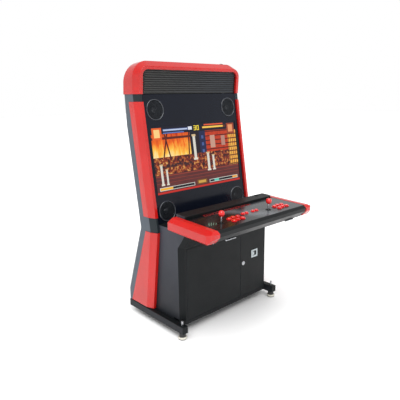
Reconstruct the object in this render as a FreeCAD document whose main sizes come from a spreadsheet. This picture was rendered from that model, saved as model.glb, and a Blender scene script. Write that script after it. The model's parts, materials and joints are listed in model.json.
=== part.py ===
"""Sit-down arcade cabinet with a 32 inch monitor, a two-player control panel and a steel skid base.

Frame: millimetres, +X to the right as seen from the front, +Y to the back, +Z up.
The origin is on the floor, under the middle of the cabinet's bounding box.

Four groups of pieces are drawn upright in a frame of their own and then tilted about X:
  face  - origin at the monitor picture's lower edge, leaning back
  deck  - origin at the control panel's top rear edge, falling towards the player
  hood  - origin at the hood's lower front edge, leaning forward
  back  - origin on the base's back wall where it starts to lean forward
"""
import FreeCAD, Part
import Sketcher
import math
import os

SIZES = {
    "skin": 3.0,                # thickness of the red trims and of the folded sheet
    "past": 5.0,                # how far a cutting tool runs past the face it cuts
    # side frames, from the rails up into the hood
    "frame_inner": 387.0,       # inside face of each side frame, from the middle
    "frame_outer": 417.0,       # outside face of each side frame
    "facet_x": 17.0,            # width of the bevel on the trims' front outer edge
    "facet_y": 49.0,            # depth of the same bevel
    "foot_top": 82.0,           # top of the skid rails, where the side frames stand
    "heel_z": 160.0,
    "waist_z": 600.0,
    "shoulder_z": 1206.0,
    "hood_z": 1380.0,           # bottom of the hood
    "frame_top": 1438.0,
    "toe_y": 162.2,             # front of the side frame at the rail
    "waist_front_y": 91.0,
    "heel_y": 395.0,            # back of the side frame at the rail
    "waist_rear_y": 238.0,
    "shoulder_rear_y": 334.0,
    "frame_rear_y": 344.0,
    "frame_top_rear_y": 342.0,
    "hood_gap": 5.0,            # from the side frame's top to the hood's front
    "upper_trim_bottom": 676.0,
    "upper_trim_top": 1338.0,
    "upper_trim_depth": 96.0,
    "lower_trim_bottom": 87.0,
    "lower_trim_top": 588.0,
    "lower_trim_rear_bottom": 370.0,
    "lower_trim_rear_top": 188.0,
    # face: the black bezel and the monitor
    "face_y": 136.0,
    "face_z": 802.5,
    "face_slope": 0.1472,       # run to the back for each unit of height
    "face_half": 380.0,
    "face_low": -168.0,
    "face_high": 583.0,
    "face_proud": 12.0,         # how far the trims stand in front of the bezel
    "sheet": 4.0,
    "picture_half": 354.2,
    "picture_height": 398.5,
    "glass_margin": 4.0,
    "glass_front": 4.3,
    "glass_rear": 7.0,
    "case_margin_x": 10.8,
    "case_margin_z": 12.0,
    "case_rear": 32.0,
    "hump_half": 220.0,
    "hump_low": 60.0,
    "hump_high": 300.0,
    "hump_rear": 56.0,
    "ear_half": 383.0,
    "ear_front": 20.0,
    "ear_low": 40.0,
    "ear_pitch": 280.0,
    "ear_high": 40.0,
    "ear_count": 2,
    "case_vent_first": -180.0,
    "case_vent_pitch": 24.0,
    "case_vent_wide": 8.0,
    "case_vent_low": 200.0,
    "case_vent_high": 270.0,
    "case_vent_deep": 8.0,
    "case_vent_count": 16,
    "speaker_x": 302.0,
    "speaker_high": 494.0,
    "speaker_low": -103.0,
    "speaker_ring": 61.7,
    "speaker_hole": 54.0,
    "speaker_ring_proud": 5.0,
    "speaker_ring_deep": 4.8,
    "speaker_ring_wide": 6.0,
    "speaker_net_front": 2.5,
    "speaker_net_deep": 1.8,
    "basket_deep": 26.0,
    "basket_rear": 32.0,
    "magnet_front": 30.0,
    "magnet_radius": 35.0,
    "magnet_deep": 16.0,
    "cone_lip": 5.0,
    "cone_deep": 20.0,
    "cone_rear": 14.0,
    # rear cover of the upper part
    "cover_half": 383.0,
    "cover_wall": 2.0,
    "cover_low": 642.0,
    "cover_high": 1556.0,
    "cover_rear_y": 338.0,
    "cover_shoulder_y": 328.0,
    "cover_waist_y": 239.0,
    "cover_bend_z": 1340.0,
    "cover_corner": 100.0,
    "cover_front_y": 150.0,
    "cover_deep": 260.0,
    "vent_first_z": 1236.0,
    "vent_pitch_z": 11.0,
    "vent_high": 5.0,
    "vent_near": 70.0,
    "vent_far": 230.0,
    "vent_count": 8,
    # hood and marquee
    "hood_y": 209.0,
    "hood_slope": 0.0822,
    "hood_depth": 141.0,
    "hood_low": -20.0,          # the hood is drawn below its level bottom edge and trimmed
    "hood_high": 181.6,
    "hood_corner": 95.0,
    "hood_rear_high": 172.0,
    "hood_rear_corner": 118.0,
    "hood_front_half": 403.0,
    "hood_front_high": 153.5,
    "hood_front_corner": 52.0,
    "hood_mouth_half": 381.0,
    "hood_mouth_high": 135.5,
    "hood_mouth_corner": 35.0,
    "hood_return": 16.0,
    "grille_half": 383.0,
    "grille_back": 16.5,
    "grille_wall": 2.5,
    "grille_rise": 6.0,
    "rib_count": 10,
    "rib_pitch": 12.6,
    "rib_half": 365.0,
    "rib_deep": 6.0,
    "rib_root": 5.0,
    "rib_tip": 2.0,
    "lamp_half": 310.0,
    "lamp_y": 70.0,
    "lamp_z": 66.0,
    "lamp_radius": 13.0,
    "lamp_holder": 8.0,
    "lamp_rail_half": 330.0,
    "lamp_rail_y": 88.0,
    "lamp_rail_deep": 16.0,
    # deck: the control panel
    "deck_y": -130.0,
    "deck_z": 712.0,
    "deck_slope": 0.0356,
    "panel_half": 371.0,
    "panel_front": -262.0,
    "nose_back": 18.0,          # the panel's front edge: a bevel above,
    "nose_drop": 12.0,
    "nose_foot": 34.0,          # an upright face,
    "chin_back": 33.0,          # and a long bevel underneath
    "chin_foot": 70.0,
    "tray_half": 372.0,
    "tray_front": -224.0,
    "tray_front_top": -40.0,
    "tray_floor": -74.0,
    "tray_rear": 86.0,
    "tray_gap": 3.5,            # from the tray's rim to the top of the panel
    "armrest_inner": 373.0,
    "armrest_outer": 440.0,
    "armrest_front": -265.5,
    "armrest_rear": 76.0,
    "armrest_low": -69.0,
    "armrest_high": 1.0,
    "armrest_bevel_x": 34.0,
    "armrest_bevel_z": 19.0,
    "armrest_edge": 8.0,        # bevel on the outer lower edge
    "armrest_soft": 3.0,        # bevel on the inner top edge
    "armrest_wall": 4.0,
    "armrest_roof": 24.0,
    "armrest_chin_back": 30.0,
    "armrest_chin_high": 34.0,
    "armrest_outer_wall": 20.0,
    "armrest_nose_wall": 36.0,
    "armrest_nose_inner": 24.0,
    "armrest_nose_outer": 12.0,
    "armrest_nose_mid": 30.0,
    "armrest_nose_short": 8.0,
    "armrest_nose_long": 34.0,
    "shelf_front": 3.0,
    "shelf_rear": 86.0,
    "shelf_high": 14.0,
    "shelf_left_bevel": 8.0,
    "shelf_corner_x": 26.0,
    "shelf_corner_y": 16.0,
    "shelf_mid_x": 8.0,
    "shelf_mid_y": 5.0,
    "window_left": 272.0,
    "window_right": 300.0,
    "window_front": 52.0,
    "window_rear": 76.0,
    "hinge_x": 255.0,
    "hinge_length": 72.0,
    "hinge_radius": 3.6,
    "hinge_drop": 6.0,          # hinge line below the panel's lower edge
    "leaf_thick": 2.4,
    "leaf_deep": 27.0,
    "leaf_gap": 0.2,
    # sticks and buttons
    "stick_left_x": -268.0,
    "stick_pitch": 394.0,
    "stick_y": -167.0,
    "stick_hole": 12.0,
    "pad_from_stick": 111.0,    # middle of a player's six buttons, from the stick
    "start_left_x": -45.0,
    "start_pitch": 86.0,
    "start_y": -133.0,
    "start_half": 15.0,
    "pivot_drop": 16.0,         # stick pivot below the panel's top
    "ball_radius": 17.5,
    "ball_rise": 52.0,
    "ball_socket": 22.0,
    "shaft_radius": 4.5,
    "shaft_tail": 28.0,
    "knuckle": 7.0,
    "hub_radius": 4.0,
    "hub_half": 16.0,
    "hub_bore": 4.05,
    "gimbal_outer": 17.0,
    "gimbal_inner": 11.0,
    "gimbal_half": 6.0,
    "trunnion_radius": 3.0,
    "trunnion_half": 25.0,
    "bearing_radius": 3.05,
    "bearing_half": 27.0,
    "housing_half": 32.0,
    "housing_low": -29.0,
    "throat": 19.5,
    "button_hole": 15.0,
    "small_hole": 12.0,
    "collar_wall": 2.6,
    "collar_lip": 1.8,
    "collar_high": 3.2,
    "collar_slack": 0.3,
    "collar_deep": 22.0,
    "collar_floor": 2.0,
    "cap_deep": 14.0,
    "cap_high": 7.4,
    "crown_high": 2.0,
    "crown_inset": 2.2,
    # base
    "base_half": 381.0,
    "base_bevel": 28.0,
    "base_front": -90.0,
    "base_rear": 366.0,
    "base_rear_top": 228.0,     # the base's back leans forward, in line with the legs
    "base_bottom": 60.0,
    "base_top": 634.0,
    "flare_z": 530.0,
    "flare_y": -166.0,
    "floor_z": 92.0,
    "notch_slack": 0.5,
    "door_left": -340.0,
    "door_right": 340.0,
    "door_split": 113.5,
    "door_seam": 1.5,           # half of the gap between the two doors
    "door_gap": 2.5,
    "door_bottom": 82.0,
    "door_top": 518.0,
    "door_depth": 15.0,
    "doorway_depth": 17.0,
    "pivot_inset": 6.0,
    "pivot_radius": 3.0,
    "pivot_bore": 3.08,
    "pivot_lap": 8.0,           # how far each pivot pin reaches into its door
    "pivot_pad": 9.0,
    "pivot_pad_high": 8.0,
    "pivot_pad_gap": 4.0,       # from the pad's top up to the door
    "pivot_pad_near": 1.0,
    "pivot_pad_far": 16.0,
    "pivot_root": 2.0,          # how far each pin is sunk in what carries it
    "stop_near": 17.5,
    "stop_far": 29.0,
    "stop_lap": 10.0,           # how far the stop frame runs behind the doors
    "stop_reach": 12.0,         # and past them
    "stop_centre": 14.0,
    "stop_floor": 16.0,
    "hatch_half": 300.0,
    "hatch_low": 26.0,
    "hatch_high": 464.0,
    "hatch_lap": 6.0,
    "hatch_wall": 2.5,
    "hatch_gap": 0.3,
    "louvre_half": 90.0,
    "louvre_low": 380.0,
    "louvre_pitch": 14.0,
    "louvre_high": 5.0,
    "louvre_count": 5,
    "lock_x": 140.0,
    "lock_z": 308.0,
    "lock_radius": 9.4,
    "lock_bore": 9.5,
    "lock_proud": 2.0,
    "lock_length": 34.0,
    "cam_half": 6.0,
    "cam_thick": 3.0,
    "cam_tail": 8.0,
    "cam_tip": 36.0,
    "key_half": 0.9,
    "key_deep": 4.0,
    "coin_x": 246.0,
    "coin_z": 351.0,
    "coin_plate_x": 30.0,
    "coin_plate_z": 26.0,
    "coin_proud": 3.0,
    "coin_hole_x": 23.0,
    "coin_hole_z": 21.0,
    "coin_mech": 1.0,           # room round the coin mechanism in its hole
    "coin_mech_deep": 46.0,
    "coin_window_left": 17.0,
    "coin_window_right": 19.0,
    "coin_window_low": 15.0,
    "coin_window_high": 17.0,
    "coin_boss_left": 12.0,
    "coin_boss_right": 1.0,
    "coin_boss_half": 11.0,
    "coin_slot_left": 5.0,
    "coin_slot_wide": 3.0,
    "coin_slot_half": 13.0,
    "coin_slot_deep": 30.0,
    "box_left": 150.0,
    "box_right": 320.0,
    "box_front": -45.0,
    "box_rear": 105.0,
    "box_high": 110.0,
    "box_wall": 2.0,
    # electronics on the base's floor
    "supply_left": -300.0,
    "supply_right": -120.0,
    "supply_front": 180.0,
    "supply_rear": 290.0,
    "supply_high": 68.0,
    "supply_wall": 2.0,
    "supply_ear": 12.0,
    "supply_ear_inset": 10.0,
    "supply_vent_pitch": 12.0,
    "supply_vent_wide": 6.0,
    "supply_vent_count": 13,
    "board_left": -60.0,
    "board_right": 200.0,
    "board_front": 150.0,
    "board_rear": 330.0,
    "board_rise": 12.0,
    "board_thick": 1.6,
    "board_foot": 4.0,
    "board_foot_inset": 10.0,
    "cooler_left": -40.0,
    "cooler_right": 60.0,
    "cooler_front": 170.0,
    "cooler_rear": 250.0,
    "cooler_high": 28.4,
    "chip_left": 90.0,
    "chip_right": 150.0,
    "chip_front": 180.0,
    "chip_rear": 240.0,
    "chip_high": 10.4,
    "edge_left": -50.0,
    "edge_right": 190.0,
    "edge_front": 306.0,
    "edge_rear": 328.0,
    "edge_high": 12.4,
    "inlet_x": -340.0,
    "inlet_z": 129.0,
    "inlet_hole_x": 14.0,
    "inlet_hole_z": 11.0,
    "inlet_plate_x": 25.0,
    "inlet_plate_z": 15.0,
    "inlet_plate_thick": 3.0,
    "inlet_gap": 0.2,
    "inlet_body_x": 13.0,
    "inlet_body_z": 10.0,
    "inlet_deep": 24.0,
    "inlet_socket_x": 10.5,
    "inlet_socket_z": 7.5,
    "inlet_socket_deep": 14.0,
    # skid
    "rail_inner": 382.0,
    "rail_outer": 422.0,
    "rail_bottom": 38.0,
    "rail_front": -139.0,
    "rail_rear": 395.0,
    "foot_front_y": -112.0,
    "foot_rear_x": 290.0,
    "cross_front_y": -35.0,
    "cross_rear_y": 330.0,
    "cross_half": 25.0,
    "cross_bottom": 40.0,
    "sole_radius": 24.0,
    "sole_top": 6.0,
    "pad_radius": 27.0,
    "pad_shoulder_radius": 25.0,
    "pad_shoulder": 16.0,
    "neck_radius": 21.0,
    "neck_top_radius": 19.0,
    "neck_top": 36.0,
    "socket_bottom": 11.0,
    "stud_radius": 6.0,
    "stud_bore": 6.05,
    "stud_top": 110.0,
    "stud_rear_top": 88.0,
    "collar_radius": 9.5,       # shoulder on the stud, between the neck and the rail
}

doc = FreeCAD.newDocument("arcade_cabinet")
sheet = doc.addObject("Spreadsheet::Sheet", "sizes")
for row, (name, value) in enumerate(SIZES.items(), start=1):
    sheet.set(f"A{row}", name)
    sheet.set(f"B{row}", str(value))
    sheet.setAlias(f"B{row}", name)
doc.recompute()


class Dim:
    """A length with both its value and the sheet expression that gives it."""

    def __init__(self, value, text):
        self.value = float(value)
        self.text = text

    def __add__(self, other):
        other = dim(other)
        return Dim(self.value + other.value, f"({self.text} + {other.text})")

    def __sub__(self, other):
        other = dim(other)
        return Dim(self.value - other.value, f"({self.text} - {other.text})")

    def __mul__(self, other):
        other = dim(other)
        return Dim(self.value * other.value, f"({self.text} * {other.text})")

    def __truediv__(self, other):
        other = dim(other)
        return Dim(self.value / other.value, f"({self.text} / {other.text})")

    def __neg__(self):
        return Dim(-self.value, f"(0 - {self.text})")

    __radd__ = __add__
    __rmul__ = __mul__


def dim(number):
    """A Dim as it is, or a plain number as a Dim."""
    if isinstance(number, Dim):
        return number
    number = round(float(number), 4)
    return Dim(number, f"({number})")


def size(name):
    """The named cell of the sheet."""
    return Dim(SIZES[name], f"sizes.{name}")


def count(name):
    """The named cell as a whole number of repeats."""
    return range(int(SIZES[name]))


def tilt(angle_sign, slope, y, z):
    """Placement of a frame that stands at (0, y, z) and tilts about X by the slope."""
    angle = math.degrees(math.atan(slope.value)) * angle_sign
    turn = FreeCAD.Rotation(FreeCAD.Vector(1, 0, 0), angle)
    return FreeCAD.Placement(FreeCAD.Vector(0, y.value, z.value), turn)


FACE = tilt(-1, size("face_slope"), size("face_y"), size("face_z"))
DECK = tilt(1, size("deck_slope"), size("deck_y"), size("deck_z"))
HOOD = tilt(1, size("hood_slope"), size("hood_y"), size("hood_z"))
BACK_SLOPE = (size("base_rear") - size("base_rear_top")) / (size("base_top") - size("heel_z"))
BACK = tilt(1, BACK_SLOPE, size("base_rear"), size("heel_z"))
nodes = []


def node(shape_object, label, placement=None):
    """Marks an object as a finished sub-part and gives it its label and its place."""
    shape_object.Label = label
    if placement is not None:
        shape_object.Placement = placement.multiply(shape_object.Placement)
    nodes.append(shape_object)
    return shape_object


def bind(item, **values):
    """Binds properties of an object to sheet expressions."""
    for name, value in values.items():
        item.setExpression(name.replace("__", "."), dim(value).text)


# ---------------------------------------------------------------- simple solids

def block(x, y, z):
    """A box between the low and high values of x, y and z."""
    item = doc.addObject("Part::Box", "block")
    low = [dim(pair[0]) for pair in (x, y, z)]
    spans = [dim(pair[1]) - dim(pair[0]) for pair in (x, y, z)]
    bind(item, Length=spans[0], Width=spans[1], Height=spans[2])
    bind(item, Placement__Base__x=low[0], Placement__Base__y=low[1], Placement__Base__z=low[2])
    return item


AXES = {
    "x": FreeCAD.Rotation(FreeCAD.Vector(0, 1, 0), 90),
    "y": FreeCAD.Rotation(FreeCAD.Vector(1, 0, 0), -90),
    "z": FreeCAD.Rotation(),
}


def rod(axis, start, radius, length, end_radius=None):
    """A cylinder, or a cone when it has an end radius, from start along the axis."""
    kind = "Part::Cylinder" if end_radius is None else "Part::Cone"
    item = doc.addObject(kind, "rod")
    item.Placement = FreeCAD.Placement(FreeCAD.Vector(), AXES[axis])
    x, y, z = [dim(value) for value in start]
    bind(item, Height=length, Placement__Base__x=x, Placement__Base__y=y, Placement__Base__z=z)
    if end_radius is None:
        bind(item, Radius=radius)
    else:
        bind(item, Radius1=radius, Radius2=end_radius)
    return item


def ball(centre, radius):
    item = doc.addObject("Part::Sphere", "ball")
    x, y, z = [dim(value) for value in centre]
    bind(item, Radius=radius, Placement__Base__x=x, Placement__Base__y=y, Placement__Base__z=z)
    return item


def fuse(*items):
    if len(items) == 1:
        return items[0]
    item = doc.addObject("Part::MultiFuse", "fuse")
    item.Shapes = list(items)
    return item


def group(*items):
    """Separate identical solids kept together in one node."""
    item = doc.addObject("Part::Compound", "group")
    item.Links = list(items)
    return item


def cut(base, *tools):
    item = doc.addObject("Part::Cut", "cut")
    item.Base = base
    item.Tool = fuse(*tools)
    return item


def placed(placement, item):
    """The item inside a frame of its own."""
    holder = group(item)
    holder.Placement = placement
    return holder


def common(first, second):
    item = doc.addObject("Part::Common", "common")
    item.Base = first
    item.Tool = second
    return item


def mirrored(source):
    """The same piece on the other side of the cabinet."""
    item = doc.addObject("Part::Mirroring", "mirrored")
    item.Source = source
    item.Base = FreeCAD.Vector(0, 0, 0)
    item.Normal = FreeCAD.Vector(1, 0, 0)
    return item


# ---------------------------------------------------------------- sketched solids

def new_body():
    return doc.addObject("PartDesign::Body", "body")


def sketch_on(body, role, offset=0.0):
    """A sketch on one of the body's own origin planes, moved along that plane's normal."""
    plane = [item for item in body.Origin.OriginFeatures if item.Role == role][0]
    sketch = body.newObject("Sketcher::SketchObject", "sketch")
    sketch.AttachmentSupport = [(plane, "")]
    sketch.MapMode = "FlatFace"
    sketch.setExpression("AttachmentOffset.Base.z", dim(offset).text)
    return sketch


def pin_point(sketch, geometry, end, point):
    """Holds one end of a sketch element at a point given by two Dims."""
    for kind, value in zip(("DistanceX", "DistanceY"), point):
        index = sketch.addConstraint(from_origin(kind, geometry, end, value.value))
        sketch.setExpression(f"Constraints[{index}]", value.text)


def from_origin(kind, geometry, end, value):
    """A signed distance from the sketch's origin to one end of a sketch element."""
    return Sketcher.Constraint(kind, -1, 1, geometry, end, value)


def polygon(sketch, points):
    """A closed outline of straight lines through the points."""
    points = [(dim(a), dim(b)) for a, b in points]
    corners = [FreeCAD.Vector(a.value, b.value, 0) for a, b in points]
    for index, corner in enumerate(corners):
        following = (index + 1) % len(corners)
        line = sketch.addGeometry(Part.LineSegment(corner, corners[following]))
        pin_point(sketch, line, 1, points[index])
        pin_point(sketch, line, 2, points[following])
    return sketch


def arch(sketch, half, low, high, corner):
    """An outline with a flat bottom, straight sides and two rounded top corners."""
    half, low, high, corner = dim(half), dim(low), dim(high), dim(corner)
    side = high - corner
    reach = half - corner
    straight = [
        ((-half, side), (-half, low)),
        ((-half, low), (half, low)),
        ((half, low), (half, side)),
        ((reach, high), (-reach, high)),
    ]
    for start, end in straight:
        line = sketch.addGeometry(Part.LineSegment(as_vector(start), as_vector(end)))
        pin_point(sketch, line, 1, start)
        pin_point(sketch, line, 2, end)
    for sign, first, second in ((1, 0.0, math.pi / 2), (-1, math.pi / 2, math.pi)):
        centre = (reach if sign > 0 else -reach, side)
        circle = Part.Circle(as_vector(centre), FreeCAD.Vector(0, 0, 1), corner.value)
        curve = sketch.addGeometry(Part.ArcOfCircle(circle, first, second))
        pin_point(sketch, curve, 3, centre)
        ends = [(half, side), (reach, high)] if sign > 0 else [(-reach, high), (-half, side)]
        pin_point(sketch, curve, 1, ends[0])
        kind, pin_end = ("DistanceX", ends[1][0]) if sign > 0 else ("DistanceY", ends[1][1])
        index = sketch.addConstraint(from_origin(kind, curve, 2, pin_end.value))
        sketch.setExpression(f"Constraints[{index}]", pin_end.text)
    return sketch


def as_vector(point):
    return FreeCAD.Vector(point[0].value, point[1].value, 0)


def circles(sketch, centres, radius):
    """Holes of one radius at each centre."""
    radius = dim(radius)
    for x, y in centres:
        circle = Part.Circle(as_vector((dim(x), dim(y))), FreeCAD.Vector(0, 0, 1), radius.value)
        index = sketch.addGeometry(circle)
        pin_point(sketch, index, 3, (dim(x), dim(y)))
        held = sketch.addConstraint(Sketcher.Constraint("Radius", index, radius.value))
        sketch.setExpression(f"Constraints[{held}]", radius.text)
    return sketch


def pad(body, sketch, length, backwards=False, midplane=False):
    feature = body.newObject("PartDesign::Pad", "pad")
    feature.Profile = sketch
    feature.Reversed = backwards
    feature.Midplane = midplane
    bind(feature, Length=length)
    doc.recompute()
    return feature


def pocket(body, sketch, length, backwards=False, midplane=False):
    """Cuts the sketch's outline out of the body, and makes sure that it did cut."""
    doc.recompute()
    before = body.Shape.Volume
    feature = body.newObject("PartDesign::Pocket", "pocket")
    feature.Profile = sketch
    feature.Reversed = backwards
    feature.Midplane = midplane
    bind(feature, Length=length)
    doc.recompute()
    if not body.Shape.Volume < before - 1e-6:
        raise RuntimeError(f"a pocket in {body.Label} cuts nothing")
    return feature


def loft(body, sketches, kind="AdditiveLoft"):
    feature = body.newObject(f"PartDesign::{kind}", "loft")
    feature.Profile = sketches[0]
    feature.Sections = sketches[1:]
    feature.Ruled = True
    doc.recompute()
    return feature


def extruded(role, points, length, start=0.0, backwards=False, midplane=False):
    """A body made by extruding one polygon."""
    body = new_body()
    pad(body, polygon(sketch_on(body, role, start), points), length, backwards, midplane)
    return body


# ---------------------------------------------------------------- side frames and trims

def face_line(z):
    """Y of the trims' front surface at a height on the leaning upper part."""
    run = (dim(z) - size("face_z")) * size("face_slope")
    return size("face_y") + run - size("face_proud")


def leg_line(z):
    """Y of the trims' front surface at a height on the raked lower leg."""
    rake = (size("toe_y") - size("waist_front_y")) / (size("waist_z") - size("foot_top"))
    return size("toe_y") - (dim(z) - size("foot_top")) * rake


def column(inner, outer, levels):
    """An upright bar of changing depth: levels are (z, front y, rear y), its front outer edge bevelled."""
    body = new_body()
    sections = []
    for z, front, rear in levels:
        section = sketch_on(body, "XY_Plane", z)
        polygon(section, [
            (inner, front),
            (outer - size("facet_x"), front),
            (outer, dim(front) + size("facet_y")),
            (outer, rear),
            (inner, rear),
        ])
        sections.append(section)
    loft(body, sections)
    return body


def side_frames():
    skin = size("skin")
    lean = (size("frame_top") - size("hood_z")) * size("hood_slope")
    levels = [
        (size("foot_top"), size("toe_y") + skin, size("heel_y")),
        (size("heel_z"), leg_line(size("heel_z")) + skin, size("heel_y")),
        (size("waist_z"), leg_line(size("waist_z")) + skin, size("waist_rear_y")),
        (size("shoulder_z"), face_line(size("shoulder_z")) + skin, size("shoulder_rear_y")),
        (size("hood_z"), face_line(size("hood_z")) + skin, size("frame_rear_y")),
        (size("frame_top"), size("hood_y") + size("hood_gap") - lean, size("frame_top_rear_y")),
    ]
    right = node(column(size("frame_inner"), size("frame_outer"), levels), "right_side_frame")
    node(mirrored(right), "left_side_frame")
    return right


def trim(frame, name, levels):
    """Red channel wrapped round the front of a side frame."""
    skin = size("skin")
    outer = column(size("frame_inner") - skin, size("frame_outer") + skin, levels)
    channel = cut(outer, frame)
    node(channel, f"right_{name}")
    node(mirrored(channel), f"left_{name}")


def trims(frame):
    low, high = size("upper_trim_bottom"), size("upper_trim_top")
    depth = size("upper_trim_depth")
    trim(frame, "upper_trim", [(z, face_line(z), face_line(z) + depth) for z in (low, high)])
    low, high = size("lower_trim_bottom"), size("lower_trim_top")
    trim(frame, "lower_trim", [
        (low, leg_line(low), size("lower_trim_rear_bottom")),
        (high, leg_line(high), size("lower_trim_rear_top")),
    ])


# ---------------------------------------------------------------- skid

def rail_middle():
    return (size("rail_inner") + size("rail_outer")) * 0.5


def skid_rails():
    """Closed box-section rails, bored through for the front foot's stud."""
    wall, past = size("skin"), size("past")
    inner, outer = size("rail_inner"), size("rail_outer")
    bottom, top = size("rail_bottom"), size("foot_top")
    front, rear = size("rail_front"), size("rail_rear")
    tube = block((inner, outer), (front, rear), (bottom, top))
    hollow = block((inner + wall, outer - wall), (front + wall, rear - wall), (bottom + wall, top - wall))
    hole = rod("z", (rail_middle(), size("foot_front_y"), 0), size("stud_bore"), top + past)
    rail = cut(tube, hollow, hole)
    node(rail, "right_skid_rail")
    node(mirrored(rail), "left_skid_rail")


def cross_member(y, stud_places):
    """Box-section tube between the rails, with a hole for each stud that enters it."""
    wall, past = size("skin"), size("past")
    reach, half = size("rail_inner"), size("cross_half")
    bottom, top = size("cross_bottom"), size("floor_z")
    bar = block((-reach, reach), (y - half, y + half), (bottom, top))
    room = (y - half + wall, y + half - wall)
    hollow = block((-reach - past, reach + past), room, (bottom + wall, top - wall))
    holes = [rod("z", (x, y, 0), size("stud_bore"), bottom + wall + past) for x in stud_places]
    return cut(bar, hollow, *holes)


def levelling_feet():
    """Four feet; each is a place, the height of the surface it carries, and its stud's top."""
    front_y, rear_y = size("foot_front_y"), size("cross_rear_y")
    rear_x = size("foot_rear_x")
    feet = [
        (-rail_middle(), front_y, size("rail_bottom"), size("stud_top")),
        (rail_middle(), front_y, size("rail_bottom"), size("stud_top")),
        (-rear_x, rear_y, size("cross_bottom"), size("stud_rear_top")),
        (rear_x, rear_y, size("cross_bottom"), size("stud_rear_top")),
    ]
    pads, studs = [], []
    sole_top, shoulder, top = size("sole_top"), size("pad_shoulder"), size("neck_top")
    bottom = size("socket_bottom")
    for x, y, under, tip in feet:
        sole = rod("z", (x, y, 0), size("sole_radius"), sole_top)
        ring = rod("z", (x, y, sole_top), size("pad_radius"), shoulder - sole_top,
                   size("pad_shoulder_radius"))
        neck = rod("z", (x, y, shoulder), size("neck_radius"), top - shoulder, size("neck_top_radius"))
        socket = rod("z", (x, y, bottom), size("stud_bore"), top - bottom + size("past"))
        pads.append(cut(fuse(sole, ring, neck), socket))
        thread = rod("z", (x, y, bottom), size("stud_radius"), tip - bottom)
        collar = rod("z", (x, y, top), size("collar_radius"), under - top)
        studs.append(fuse(thread, collar))
    node(group(*pads), "levelling_pads")
    node(group(*studs), "levelling_studs")


def skid():
    skid_rails()
    front = cross_member(size("cross_front_y"), [])
    rear = cross_member(size("cross_rear_y"), [-size("foot_rear_x"), size("foot_rear_x")])
    node(group(front, rear), "cross_members")
    levelling_feet()


# ---------------------------------------------------------------- base box

def base_solid(inset, bottom, top):
    """The base's outline pulled in by inset, between two heights, with bevelled front corners."""
    half = size("base_half") - inset
    bevel = size("base_bevel")
    body = new_body()
    flare = (size("flare_y") - size("base_front")) / (size("base_top") - size("flare_z"))
    front_low = size("base_front") + inset
    front_top = front_low + flare * (dim(top) - size("flare_z"))
    rear_low = size("base_rear") - inset

    def rear_at(z):
        return rear_low - BACK_SLOPE * (dim(z) - size("heel_z"))

    levels = [
        (bottom, front_low, rear_low),
        (size("heel_z"), front_low, rear_low),
        (size("flare_z"), front_low, rear_at(size("flare_z"))),
        (top, front_top, rear_at(top)),
    ]
    sections = []
    for z, front, rear in levels:
        section = sketch_on(body, "XY_Plane", z)
        polygon(section, [
            (-half, rear), (-half, front + bevel), (-half + bevel, front),
            (half - bevel, front), (half, front + bevel), (half, rear),
        ])
        sections.append(section)
    loft(body, sections)
    return body


def pivots():
    """X of the two front doors' concealed pivots, and their y."""
    inset = size("pivot_inset")
    return (size("door_left") + inset, size("door_right") - inset), size("base_front") + inset


def door_stops():
    """Frame behind the doors, with the pins and pads that carry them."""
    front, skin, near = size("base_front"), size("skin"), size("pivot_pad_near")
    low, high, floor = size("door_bottom"), size("door_top"), size("floor_z")
    lap, reach = size("stop_lap"), size("stop_reach")
    inner, outer = size("door_right") - lap, size("door_right") + reach
    bottom = low - size("door_gap")
    depth = (front + size("stop_near"), front + size("stop_far"))
    split, centre = size("door_split"), size("stop_centre")
    pieces = [
        block((-outer, -inner), depth, (bottom, high + reach)),
        block((inner, outer), depth, (bottom, high + reach)),
        block((-outer, outer), depth, (high - lap, high + reach)),
        block((-outer, outer), depth, (floor, floor + size("stop_floor"))),
        block((split - centre, split + centre), depth, (floor, high + reach)),
        block((-outer, outer), (front + near, front + size("stop_far")), (high + reach - skin, high + reach)),
    ]
    pin, root, pad = size("pivot_lap"), size("pivot_root"), size("pivot_pad")
    pad_top = low - size("pivot_pad_gap")
    pad_depth = (front + near, front + size("pivot_pad_far"))
    places, y = pivots()
    for x in places:
        pieces.append(rod("z", (x, y, high - pin), size("pivot_radius"), pin + reach - root))
        pieces.append(rod("z", (x, y, pad_top - root), size("pivot_radius"), low + pin - pad_top + root))
        pieces.append(block((x - pad, x + pad), pad_depth, (pad_top - size("pivot_pad_high"), pad_top)))
    return pieces


def base():
    skin, past = size("skin"), size("past")
    front, rear = size("base_front"), size("base_rear")
    bottom, floor = size("base_bottom"), size("floor_z")
    wide = size("base_half") - skin
    outer = base_solid(dim(0), bottom, size("base_top"))
    room = base_solid(skin, floor + skin, size("base_top") - skin)
    under = block((-wide, wide), (front + skin, rear - skin), (bottom - 1, floor))
    edge, gap = size("door_right") + size("door_gap"), size("door_gap")
    doorway = block((-edge, edge), (front - past, front + size("doorway_depth")),
                    (size("door_bottom") - gap, size("door_top") + gap))
    notches = []
    for y in (size("cross_front_y"), size("cross_rear_y")):
        half = size("cross_half") + size("notch_slack")
        reach = size("base_half") + past
        notches.append(block((-reach, reach), (y - half, y + half), (bottom - 1, floor)))
    half, low, high = size("hatch_half"), size("hatch_low"), size("hatch_high")
    hatch = placed(BACK, block((-half, half), (-3 * past, 2 * past), (low, high)))
    x, z = size("inlet_x"), size("inlet_z")
    across, up = size("inlet_hole_x"), size("inlet_hole_z")
    inlet = block((x - across, x + across), (rear - 2 * past, rear + past), (z - up, z + up))
    shell = cut(outer, room, under, doorway, hatch, inlet, *notches)
    node(fuse(shell, *door_stops()), "base_shell")


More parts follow.
